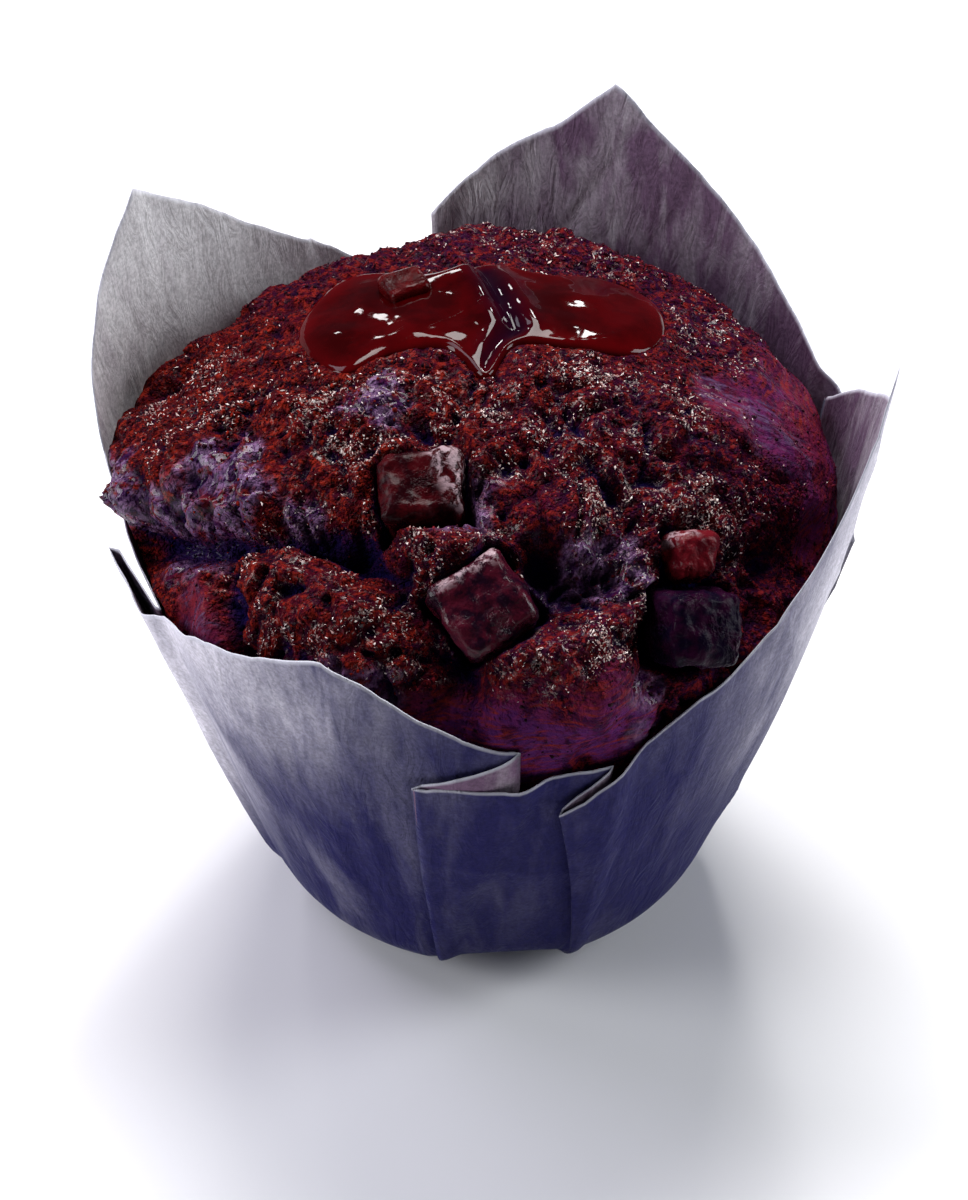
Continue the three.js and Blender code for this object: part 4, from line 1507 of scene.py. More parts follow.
    def _small_forms(self, p: Array) -> Array:
        """Knobs, ridges, cracks and pits that are too small for the solid.

        Args:
            p: Points of the plain dome in mm.

        Returns:
            One height in mm for each point.
        """
        bent = p + 0.7 * np.stack([fractal_noise(p + shift, 2.4, 2) for shift in (0.0, 30.0, 60.0)], axis=1)
        height = np.zeros(len(p))
        for knob in self.knobs:
            height += knob.bulge(bent)
        for pit in self.pits:
            height -= pit.bulge(bent)
        for crack in (*self.ridges, *self.small_cracks):
            height -= crack.groove(bent)
        return height

    def _crust(self, p: Array, skin: Array, torn: Array) -> Array:
        """Crags, lumps, granules and pores of the crust.

        Args:
            p: Points of the plain dome in mm.
            skin: Mask of the smooth skin.
            torn: Mask of the torn places.

        Returns:
            One height in mm for each point.
        """
        craggy = smooth((-p[:, 1] + 8.0) / 16.0) * (1.0 - 0.5 * smooth((p[:, 0] - 16.0) / 10.0))
        craggy = np.maximum(craggy, 0.6) * (1.0 - skin)
        warp = np.stack([smooth_noise(p, 4.0, s) for s in (1.0, 2.0, 3.0)], axis=1)
        bent = p + 1.5 * warp
        first, second, value = cell_noise(bent, 4.2)
        lumps = smooth((second - first) / 0.35) * (0.35 + 0.65 * value)
        detail = 1.2 * (lumps - 0.5) * craggy
        folds = np.abs(fractal_noise(bent, 3.0, 3))
        detail += 1.25 * (0.42 - folds) * craggy
        first, _, value = cell_noise(p + 0.5 * warp, 1.35)
        detail += 0.42 * (0.55 - first) * (0.4 + 0.6 * value) * (1.0 - 0.8 * skin)
        first, _, value = cell_noise(p + 80.0, 2.6)
        pore = (value > 0.66) * smooth((0.27 - first) / 0.12)
        detail -= 0.9 * pore * (1.0 - skin)
        first, second, _ = cell_noise(bent + 20.0, 1.7)
        crumbs = 0.7 * (0.5 - smooth((0.42 - first) / 0.3))
        seams = 0.35 * smooth((0.16 - (second - first)) / 0.16)
        detail += torn * (crumbs - seams)
        return detail

    def _lean(self, plain: Array) -> Array:
        """Sideways shift of the parts that hang over a hollow.

        Args:
            plain: Points of the plain dome in mm.

        Returns:
            One shift in mm for each point.
        """
        shift = np.zeros_like(plain)
        for ledge in self.ledges:
            shift += near_place(plain, ledge.at, ledge.spread)[:, None] * np.array(ledge.shift)
        return shift

    def build(self) -> Piece:
        """Makes the body as one closed skin.

        Returns:
            The piece.
        """
        azimuth, reach = self._disc()
        plain, normal = self._plain(azimuth, reach)
        skin = self._spots(plain, self.skin_spots, 5.0, 0.2, 3.0)
        torn = self._spots(plain, self.torn_spots, self.torn_reach, 0.28, 2.4) * (1.0 - 0.5 * skin)
        top_half = plain[:, 2] > 60.0
        outline = self.sauce.inside(plain[:, :2])
        under_sauce = smooth((outline + 0.6) / 1.2) * top_half
        free = smooth((plain[:, 2] - 45.0) / 4.0) * (1.0 - under_sauce)
        forms = self._small_forms(plain) * free
        crust = self._crust(plain, skin, torn) * free
        rim_lift = self.rim_rise * bell(outline + 0.7, 0.7) * top_half
        basin = -self.basin * smooth((outline - 0.05) / 1.3) * top_half
        moats = np.zeros(len(plain))
        for chunk in self.chunks:
            ragged = 1.0 + 0.6 * smooth_noise(plain, 2.2, 6.0 + chunk.seed)
            depth = chunk.size[2] - self.chunk_stands
            moats = np.minimum(moats, -depth * smooth((ragged - chunk.distance(plain, self.dome)) / 1.0))
        height = self._relief(plain) + forms + crust + rim_lift + basin + moats
        points = self._held(plain + self._lean(plain) * free[:, None] + normal * height[:, None])
        # Painted shade: mask of the hollows and moats that the finish darkens.
        hollow_shade = self._hollow_shade_mask(plain, height, moats)
        values = {
            "hollow_shade": hollow_shade,
            # Painted shade: fine crevices under their surroundings, which the finish darkens.
            "gap": self._under(height, 4, 0.03, 0.20) * (1.0 - 0.5 * torn) * (1.0 - skin),
            "skin": skin,
            "torn": torn * (1.0 - 0.7 * hollow_shade),
            "sauced": under_sauce,
            # Painted sheen: mask of the violet sheen streaks.
            "brushed_sheen": self._spots(plain, self.brushed_sheen_spots, 4.0, 0.2, 3.0),
            # Painted shade: mask of the violet shade.
            "violet_shade": self._violet_shade(plain),
            "glint": self._glint(plain) * (1.0 - hollow_shade) * (1.0 - under_sauce),
        }
        return self._close(points, azimuth, values)

    def _held(self, points: Array) -> Array:
        """Keeps the crust inside the paper that stands beside it.

        Args:
            points: Points of the crust in mm.

        Returns:
            The points, moved in where they would cut the paper.
        """
        azimuth = np.degrees(np.arctan2(points[:, 1], points[:, 0]))
        case = self.dome.case
        limit = case.wall_radius(points[:, 2]) + self.dome.off + case.swell(azimuth, points[:, 2])
        radius = np.hypot(points[:, 0], points[:, 1])
        beside = points[:, 2] < case.paper_top(azimuth) + self.hold_above
        scale = np.where(beside & (radius > limit), limit / np.maximum(radius, 1e-6), 1.0)
        held = points.copy()
        held[:, :2] *= scale[:, None]
        return held

    def _hollow_shade_mask(self, plain: Array, height: Array, moats: Array) -> Array:
        """Mask of the deep parts, where dark shade is painted, from how far each point lies under its surroundings.

        Args:
            plain: Points of the plain dome in mm.
            height: Height of every point of the crust in mm.
            moats: Depth round the chunks, below 0, in mm.

        Returns:
            The mask, from 0 to 1.
        """
        deep = self._under(height, 30, 0.3, 1.0)
        broad = 0.9 * smooth((-height - 2.0) / 2.6) * (plain[:, 2] > 48.0) * (plain[:, 1] < 0)
        return np.clip(np.maximum.reduce([deep, smooth((-moats - 0.8) / 1.6), broad]), 0.0, 1.0)

    def _under(self, height: Array, rounds: int, least: float, span: float) -> Array:
        """Mask of the points that lie under the mean height around them.

        Args:
            height: Height of every point of the crust in mm.
            rounds: Rounds of averaging; more rounds look farther around.
            least: Depth in mm at which the mask begins.
            span: Further depth in mm over which it grows to 1.

        Returns:
            The mask, from 0 to 1.
        """
        n = self.cells + 1
        sheet = height.reshape(n, n)
        around = sheet.copy()
        for _ in range(rounds):
            padded = np.pad(around, 1, mode="edge")
            around = (padded[:-2, 1:-1] + padded[2:, 1:-1] + padded[1:-1, :-2] + padded[1:-1, 2:]) / 4.0
        return smooth(((around - sheet).ravel() - least) / span)

    def _violet_shade(self, p: Array) -> Array:
        """Mask of the painted violet shade: low at the front, round the front hollow, at the back and at the right.

        Args:
            p: Points of the plain dome in mm.

        Returns:
            The mask, from 0 to 1.
        """
        low = 1.0 * smooth((57.5 - p[:, 2]) / 5.0) * smooth((-p[:, 1] - 18.0) / 8.0)
        middle = 0.7 * near_place(p, (8.0, -24.0, 65.0), 7.5)
        back = 0.62 * smooth((p[:, 1] - 12.0) / 10.0)
        right = 0.5 * smooth((p[:, 0] - 2.0) / 16.0)
        cloud = 0.35 * smooth((fractal_noise(p + 12.0, 7.0, 3) - 0.05) / 0.3) * smooth((p[:, 0] + 26.0) / 14.0)
        return np.clip(np.maximum.reduce([low, middle, back, right]) + cloud, 0.0, 1.0)

    def _glint(self, p: Array) -> Array:
        """Mask of the clusters in which the crust glistens; it also places the painted highlight strokes and grains.

        Args:
            p: Points of the plain dome in mm.

        Returns:
            The mask, from 0 to 1.
        """
        near = np.zeros(len(p))
        for spot in self.glint_spots:
            near = np.maximum(near, near_place(p, spot, 4.2))
        cloud = smooth((fractal_noise(p + 9.0, 2.4, 3) + 0.15) / 0.5)
        mask = np.clip(near * (0.25 + 0.9 * cloud) + 0.12 * cloud, 0.0, 1.0)
        return mask * smooth((p[:, 2] - 54.0) / 4.0) * (1.0 - 0.4 * smooth((p[:, 1] - 8.0) / 8.0))

    def _close(self, points: Array, azimuth: Array, values: Dict[str, Array]) -> Piece:
        """Adds the lower part and makes the piece.

        Args:
            points: Points of the crust in mm, row by row.
            azimuth: Azimuths in radians.
            values: Masks of the crust by name.

        Returns:
            The piece.
        """
        n = self.cells + 1
        faces = [square_faces(n)]
        self.sheet = CrustSheet(points, faces[0], values)
        ring = np.concatenate([
            np.arange(0, n - 1) * n,
            (n - 1) * n + np.arange(0, n - 1),
            np.arange(n - 1, 0, -1) * n + n - 1,
            np.arange(n - 1, 0, -1),
        ])
        count = len(ring)
        turn = np.degrees(azimuth[ring])
        case = self.dome.case
        low = float(case.station_at(np.array(self.side_down_to)))
        stations = list(np.linspace(low, case.round_length, self.skirt_rows + 1)[1:])
        stations += [case.round_length * k / 3 for k in (2, 1, 0)]
        rows = [case.on_wall(turn, np.full(count, station), np.full(count, self.dome.off)) for station in stations]
        pole = np.array([[0.0, 0.0, case.floor_z - self.dome.off]])
        total = np.concatenate([points, *rows, pole])
        start = len(points)
        upper = ring
        for row in range(len(rows)):
            lower = start + row * count + np.arange(count)
            faces.append(np.stack([upper, np.roll(upper, -1), np.roll(lower, -1), lower], axis=-1))
            upper = lower
        fan = [[int(upper[k]), int(np.roll(upper, -1)[k]), len(total) - 1] for k in range(count)]
        every: List[Sequence[int]] = list(np.concatenate(faces)) + fan
        extra = len(total) - len(points)
        padded = {key: np.concatenate([value, np.zeros(extra)]) for key, value in values.items()}
        piece = make_piece("muffin", total, every, CrustFinish().build(), padded)
        weld(piece)
        return dress(piece, Slot.CRUMB, "muffin_crumb")


@dataclass(frozen=True)
class GrainFinish:
    """Baked grains from near black to orange-red; in near-white they are painted highlights."""

    name: str
    dark: Colour
    light: Colour
    roughness: float
    coat: float
    skew: float = 1.0
    # Painted shade: violet that the grains take where the crust under them is shaded.
    violet_shade_colour: Colour = (0.050, 0.0062, 0.044)
    violet_shade_share: float = 0.7
    patch_size: float = 1.6
    coat_roughness: float = 0.12
    specular: float = 0.04

    def build(self) -> bpy.types.Material:
        """Makes the material.

        Returns:
            The material.
        """
        material, graph, shader = start_material(self.name)
        place = graph.place()
        tone = graph.value("tone")
        cloud = graph.noise(place, self.patch_size, 3.0, 0.6)
        skewed = graph.math("POWER", tone, self.skew)
        patchy = graph.times(graph.minus(cloud, 0.5), 0.8)
        blend = graph.plus(skewed, patchy, clamp=True)
        light = graph.mix(graph.times(graph.value("violet_shade"), self.violet_shade_share), self.light, self.violet_shade_colour)
        link(graph, graph.mix(blend, self.dark, light), shader, "Base Color")
        link(graph, graph.span(cloud, 0.3, 0.7, self.roughness, self.roughness + 0.2), shader, "Roughness")
        set_values(
            shader, Coat_Weight=self.coat, Coat_Roughness=self.coat_roughness, Specular_IOR_Level=self.specular)
        link(graph, graph.bump(cloud, 0.5, 0.12), shader, "Normal")
        return material


@dataclass
class Sprinkling:
    """Grains that stick to the crust, each a small uneven lump: crumbs, or near-white grains that are painted
    highlights.
    """

    name: str
    sheet: CrustSheet
    material: bpy.types.Material
    count: int
    smallest: float
    largest: float
    faceted: bool
    seed: int
    sunk: float = 0.25
    clustered: bool = False
    case: CaseForm = field(default_factory=CaseForm)

    def _lump(self) -> Tuple[Array, Array]:
        """Corners and faces of one grain: 12 corners, or 6 where it is faceted.

        Returns:
            The corners and the faces.
        """
        if self.faceted:
            corners = np.array([[1, 0, 0], [-1, 0, 0], [0, 1, 0], [0, -1, 0], [0, 0, 1], [0, 0, -1]], float)
            faces = [(0, 2, 4), (2, 1, 4), (1, 3, 4), (3, 0, 4), (2, 0, 5), (1, 2, 5), (3, 1, 5), (0, 3, 5)]
            return corners, np.array(faces)
        g = (1.0 + math.sqrt(5.0)) / 2.0
        corners = np.array([
            [-1, g, 0], [1, g, 0], [-1, -g, 0], [1, -g, 0], [0, -1, g], [0, 1, g],
            [0, -1, -g], [0, 1, -g], [g, 0, -1], [g, 0, 1], [-g, 0, -1], [-g, 0, 1],
        ]) / math.hypot(1.0, g)
        faces = [
            (0, 11, 5), (0, 5, 1), (0, 1, 7), (0, 7, 10), (0, 10, 11), (1, 5, 9), (5, 11, 4), (11, 10, 2), (10, 7, 6),
            (7, 1, 8), (3, 9, 4), (3, 4, 2), (3, 2, 6), (3, 6, 8), (3, 8, 9), (4, 9, 5), (2, 4, 11), (6, 2, 10),
            (8, 6, 7), (9, 8, 1),
        ]
        return corners, np.array(faces)

    def _density(self, centre: Array) -> Array:
        """How thickly grains lie at points of the crust.

        Args:
            centre: Middle of each face of the crust in mm.

        Returns:
            One share for each face.
        """
        values = self.sheet.values
        quads = self.sheet.quads
        kept = 1.0 - np.max(values["hollow_shade"][quads], axis=1)
        for name, share in (("skin", 0.85), ("torn", 0.85), ("gap", 0.7)):
            kept *= 1.0 - share * np.mean(values[name][quads], axis=1)
        kept *= 1.0 - np.max(values["sauced"][quads], axis=1)
        kept *= 0.25 + 0.75 * smooth((fractal_noise(centre, 6.0, 3) + 0.35) / 0.7)
        if self.clustered:
            kept *= np.mean(values["glint"][quads], axis=1) ** 1.2
        azimuth = np.degrees(np.arctan2(centre[:, 1], centre[:, 0]))
        room = self.case.wall_radius(centre[:, 2]) - 1.4 - np.hypot(centre[:, 0], centre[:, 1])
        clear = (room > 0.0) | (centre[:, 2] > self.case.paper_top(azimuth) + 1.0)
        return kept * clear * smooth((centre[:, 2] - 47.0) / 4.0)

    def build(self) -> Piece:
        """Makes all the grains as one piece.

        Returns:
            The piece.
        """
        rng = np.random.default_rng(self.seed)
        quads = self.sheet.quads
        corner = self.sheet.points[quads]
        across = np.cross(corner[:, 2] - corner[:, 0], corner[:, 3] - corner[:, 1])
        area = np.linalg.norm(across, axis=1)
        centre = corner.mean(axis=1)
        weight = area * self._density(centre)
        chosen = rng.choice(len(quads), self.count, p=weight / weight.sum())
        normal = unit_rows(across[chosen])
        normal = np.where((np.sum(normal * centre[chosen], axis=1) < 0)[:, None], -normal, normal)
        mix = rng.dirichlet((1.0, 1.0, 1.0, 1.0), self.count)
        place = np.sum(corner[chosen] * mix[..., None], axis=1)
        size = self.smallest + (self.largest - self.smallest) * rng.random(self.count) ** 2.2
        lump, faces = self._lump()
        spin = rng.normal(size=(self.count, 4))
        spin /= np.linalg.norm(spin, axis=1, keepdims=True)
        w, x, y, z = spin.T
        turn = np.stack([
            np.stack([1 - 2 * (y * y + z * z), 2 * (x * y - z * w), 2 * (x * z + y * w)], axis=1),
            np.stack([2 * (x * y + z * w), 1 - 2 * (x * x + z * z), 2 * (y * z - x * w)], axis=1),
            np.stack([2 * (x * z - y * w), 2 * (y * z + x * w), 1 - 2 * (x * x + y * y)], axis=1),
        ], axis=1)
        stretch = 0.65 + 0.7 * rng.random((self.count, 1, 3))
        if self.clustered:
            stretch *= np.array([1.9, 0.8, 0.6])
        jitter = 1.0 + 0.28 * rng.normal(size=(self.count, len(lump), 1)).clip(-1.6, 1.6)
        body = (lump[None] * jitter * stretch * size[:, None, None]) @ turn
        points = body + (place + normal * (size * self.sunk)[:, None])[:, None]
        every = faces[None] + (np.arange(self.count) * len(lump))[:, None, None]
        tone = np.repeat(rng.random(self.count), len(lump))
        # Painted shade: each grain carries the violet-shade mask of the crust under it.
        violet_shade = np.repeat(np.mean(self.sheet.values["violet_shade"][quads[chosen]], axis=1), len(lump))
        values = {"tone": tone, "violet_shade": violet_shade}
        piece = make_piece(self.name, points.reshape(-1, 3), every.reshape(-1, 3), self.material, values)
        if self.faceted:
            piece.data.polygons.foreach_set("use_smooth", np.zeros(len(piece.data.polygons), bool))
        return dress(piece, Slot.CRUMB)


@dataclass
class PaperCase:
    """The folded sheet of baking paper, with soft wrinkles, hairpin pleats and a ragged cut edge."""

    case: CaseForm
    thickness: float = 0.16
    hairpin: float = 0.34
    step_deg: float = 1.05
    rows: int = 84
    round_rows: int = 10
    layer_steps: int = 12
    mean_radius: float = 36.0
    rim_station: float = 60.0

    def _columns(self) -> List[dict]:
        """Vertices of the folded path round the case.

        Returns:
            For each, the pleats it lies between, how far along the panel or the hidden layer it is, and its
            rim height.
        """
        columns: List[dict] = []
        rims = self.case.rims
        for index, rim in enumerate(rims):
            wraps = index == len(rims) - 1
            start = self.case.pleats[index]
            end = self.case.pleats[0 if wraps else index + 1]
            turn = 360.0 if wraps else 0.0
            stops = np.array(rim, float)
            span = stops[-1, 0] - stops[0, 0]
            even = stops[0, 0] + span * np.linspace(0.0, 1.0, int(span / self.step_deg) + 1)
            apart = np.min(np.abs(even[:, None] - stops[None, :, 0]), axis=1)
            for azimuth in np.sort(np.concatenate([even[apart > 0.3], stops[:, 0]])):
                along = (azimuth - stops[0, 0]) / span
                columns.append({"start": start, "end": end, "turn": turn, "along": along, "panel": index,
                                "rim": float(np.interp(azimuth, stops[:, 0], stops[:, 1]))})
            foot = stops[-1, 1]
            head = rims[0 if wraps else index + 1][0][1]
            for k in range(1, self.layer_steps):
                t = k / self.layer_steps
                height = float(foot + (head - foot) * t)
                columns.append({"layer": end, "turn": turn, "along": t, "panel": index, "rim": height})
        return columns

    def _plan(self, columns: List[dict], stations: Array) -> Tuple[Array, Array]:
        """Azimuth and stand-off of each path vertex at its own stations.

        Args:
            columns: The path's vertices.
            stations: Rows of stations, one column for each vertex.

        Returns:
            Azimuths in degrees and stand-offs in mm, in the same layout.
        """
        case = self.case
        _, z, _, _ = case.profile(stations)
        opening = np.minimum(1.0, z / case.pleat_full_z)
        fade = smooth(stations / case.round_length)

        def crease(pleat: Pleat, column: int) -> Array:
            """Azimuth of the outer crease."""
            floor = pleat.floor + case.floor_spread / 2
            return floor + (pleat.crease_rim - floor) * opening[:, column]

        def fold(pleat: Pleat, column: int) -> Array:
            """Azimuth of the inner fold."""
            floor = pleat.floor - case.floor_spread / 2
            return floor + (pleat.fold_rim - floor) * opening[:, column]

        def stand(pleat: Pleat, column: int) -> Array:
            """Stand-off of the outer crease."""
            return (case.stand_low + (pleat.stand - case.stand_low) * opening[:, column]) * fade[:, column]

        azimuth = np.zeros_like(stations)
        off = np.zeros_like(stations)
        for column, vertex in enumerate(columns):
            if "layer" in vertex:
                pleat = vertex["layer"]
                t = vertex["along"]
                start = fold(pleat, column)
                end = crease(pleat, column)
                lift = stand(pleat, column)
                lean = np.minimum(self.hairpin * fade[:, column], lift * 0.3)
                azimuth[:, column] = start + (end - start) * t + vertex["turn"]
                off[:, column] = lean + (lift - 2 * lean) * t
                continue
            low = crease(vertex["start"], column)
            high = fold(vertex["end"], column) + vertex["turn"]
            azimuth[:, column] = low + (high - low) * vertex["along"]
            passed = azimuth[:, column] - np.maximum(fold(vertex["start"], column), low)
            off[:, column] = stand(vertex["start"], column) * (1.0 - smooth(passed / case.relax_deg))
        return azimuth, off

    def _rim_detail(self, azimuth: Array, panel: Array) -> Array:
        """Small waves and nicks of the cut edge in mm.

        Args:
            azimuth: Azimuths in degrees.
            panel: Number of the panel that each lies on.

        Returns:
            One height for each azimuth.
        """
        key = np.stack([azimuth * 0.65, panel * 31.0, np.zeros_like(azimuth)], axis=1)
        waves = 0.32 * smooth_noise(key, 4.0) + 0.14 * smooth_noise(key, 1.3, 5.0)
        nicks = np.maximum(0.0, smooth_noise(key, 0.9, 9.0) - 0.55) * 0.5
        return waves - nicks

    def _wrinkle(self, arc: Array, z: Array, panel: Array, free: Array) -> Array:
        """Soft buckles of the sheet in mm.

        Args:
            arc: Distances along the sheet in mm.
            z: Heights in mm.
            panel: Number of the panel that each lies on.
            free: Mask of the part above the muffin.

        Returns:
            One stand-off for each point.
        """
        key = np.stack([arc, z * 0.16 + panel * 17.0, np.zeros_like(arc)], axis=1)
        slanted = np.stack([arc + 0.5 * z, z * 0.35 + panel * 7.0, np.full_like(arc, 4.0)], axis=1)
        soft = 0.30 * smooth_noise(key, 6.0) + 0.14 * smooth_noise(key, 2.4, 3.0)
        crease = 1.0 - np.abs(smooth_noise(slanted, 9.0, 2.0)) * 2.2
        sharp = np.maximum(0.0, crease) ** 4 * 0.28
        big = 0.55 * smooth_noise(np.stack([arc, z * 0.4, panel * 9.0], axis=1), 13.0, 7.0) * free
        return soft + sharp + big

    def build(self) -> Piece:
        """Makes the case as one closed sheet.

        Returns:
            The piece.
        """
        case = self.case
        columns = self._columns()
        count = len(columns)
        rim = np.array([c["rim"] for c in columns])
        panel = np.array([c["panel"] for c in columns], float)
        rim_azimuth, _ = self._plan(columns, np.full((1, count), self.rim_station))
        rim = rim + self._rim_detail(rim_azimuth[0], panel)
        top = case.station_at(rim)
        stations = [np.full(count, -case.flat_radius * k) for k in (0.85, 0.5, 0.2)]
        stations += [np.full(count, case.round_length * k / self.round_rows) for k in range(self.round_rows)]
        stations += [case.round_length + (top - case.round_length) * k / self.rows for k in range(self.rows + 1)]
        grid = np.stack(stations)
        rows = len(grid)
        azimuth, off = self._plan(columns, grid)
        r, z, _, _ = case.profile(grid)
        arc = np.radians(azimuth) * self.mean_radius
        height_free = smooth((z - 54.0) / 16.0)
        flat_arc, flat_z = arc.ravel(), z.ravel()
        flat_panel = np.broadcast_to(panel, grid.shape).ravel()
        wrinkle = self._wrinkle(flat_arc, flat_z, flat_panel, height_free.ravel()).reshape(grid.shape)
        wrinkle *= smooth((z - 6.0) / 14.0)
        lean = 0.3 * smooth((z - 56.0) / 22.0) * (1.0 + 0.8 * np.sin(np.radians(azimuth * 5)))
        step = 0.7 * smooth((118.4 - azimuth) / 0.6) * smooth((azimuth - 104.0) / 4.0) * smooth((z - 50.0) / 6.0)
        own = off + lean + np.maximum(wrinkle, -0.18) + step * (panel == 1)
        before_az = np.roll(azimuth, 1, axis=1)
        before_az[:, 0] -= 360.0
        after_az = np.roll(azimuth, -1, axis=1)
        after_az[:, -1] += 360.0
        scale = np.maximum(r, 1.0) * math.pi / 180.0
        along = (after_az - before_az) * scale
        across = np.roll(own, -1, axis=1) - np.roll(own, 1, axis=1)
        length = np.maximum(np.hypot(along, across), 1e-6)
        half = self.thickness / 2.0
        sides: List[Array] = []
        for side in (1.0, -1.0):
            shifted_az = azimuth - side * half * across / length / scale
            shifted_off = own + side * half * along / length
            shifted_off = np.where(z < case.floor_z + 0.01, side * case.paper / 2.0, shifted_off)
            sides.append(case.on_wall(shifted_az, grid, shifted_off).reshape(-1, 3))
        points = np.concatenate([sides[0], sides[1], [[0.0, 0.0, 0.0], [0.0, 0.0, case.paper]]])
        inner = rows * count
        poles = 2 * inner
        last = (rows - 1) * count
        idx = np.arange(count)
        nxt = (idx + 1) % count
        faces: List[Sequence[int]] = list(grid_faces(rows, count))
        faces += list(grid_faces(rows, count, inner, True))
        faces += [[poles, int(nxt[k]), int(idx[k])] for k in range(count)]
        faces += [[poles + 1, int(inner + idx[k]), int(inner + nxt[k])] for k in range(count)]
        faces += list(np.stack([last + idx, last + nxt, inner + last + nxt, inner + last + idx], axis=1))
        return self._dress(points, faces, azimuth, z, top[None] - grid, panel)

    def _dress(
        self,
        points: Array,
        faces: Sequence[Sequence[int]],
        azimuth: Array,
        z: Array,
        below: Array,
        panel: Array,
    ) -> Piece:
        """Gives the sheet its values and makes the piece.

        Args:
            points: Points of both sides in mm, then the two poles.
            faces: Vertex numbers of each face.
            azimuth: Azimuths in degrees of one side.
            z: Heights in mm of one side.
            below: Distances in mm below the cut edge.
            panel: Number of each column's panel.

        Returns:
            The piece.
        """
        count = azimuth.size
        flat_az = azimuth.ravel() % 360.0
        flat_z = z.ravel()
        below = below.ravel()
        flat_panel = np.broadcast_to(panel, azimuth.shape).ravel()

        def facing(middle: float, spread: float) -> Array:
            """Bell curve of the azimuth about a direction."""
            return bell(degrees_apart(flat_az, middle), spread)

        def above(low: float, span: float) -> Array:
            """Mask that grows from 0 to 1 above a height."""
            return smooth((flat_z - low) / span)

        # Partly painted light: paler toward the rim of the front-left panel and on the left, right and back sides,
        # where light falls.
        left_top = 0.92 * facing(212.0, 22.0) * above(28.5, 31.0)
        side_left = 1.5 * facing(190.0, 15.0) * above(8.0, 30.0)
        side_right = 0.9 * facing(345.0, 16.0) * above(15.0, 36.0)
        back = 0.45 * facing(90.0, 60.0) * above(20.0, 40.0)
        dry_and_lit = np.clip(np.maximum.reduce([left_top, side_left, side_right, back]), 0.0, 1.0)
        # Partly painted light: the inside of the left petal and the back petal's top are made pale where light falls.
        inner_dry_and_lit = 1.1 * facing(140.0, 27.0) + 0.06 * facing(60.0, 40.0) + 0.4 * facing(95.0, 6.0) * above(58.0, 4.0)
        # Painted highlight: mask of the cut edge, where a pale line is painted.
        edge = (below < 0.02).astype(float)
        inside = np.concatenate([np.zeros(count), np.ones(count), [0.0, 1.0]])
        smeared = facing(226.0, 26.0) * smooth((66.0 - flat_z) / 16.0)
        along = np.radians(azimuth.ravel()) * self.mean_radius + flat_panel * 5.0
        one_side = {"dry_and_lit": dry_and_lit, "smeared": smeared, "inner_dry_and_lit": inner_dry_and_lit, "cut_edge_highlight": edge, "u": along, "v": flat_z}
        values = {key: np.concatenate([value, value, [0.0, 0.0]]) for key, value in one_side.items()}
        uv = np.stack([values.pop("u"), values.pop("v")], axis=1)
        values["inside"] = inside
        piece = make_piece("tulip_case", points, faces, PaperFinish().build(), values, uv)
        return dress(piece, Slot.PAPER, "paper_case")


@dataclass(frozen=True)
class Lamp:
    """An area light, with its place and size in metres and its power in watts."""

    name: str
    at: Point
    size: Tuple[float, float]
    power: float
    colour: Colour


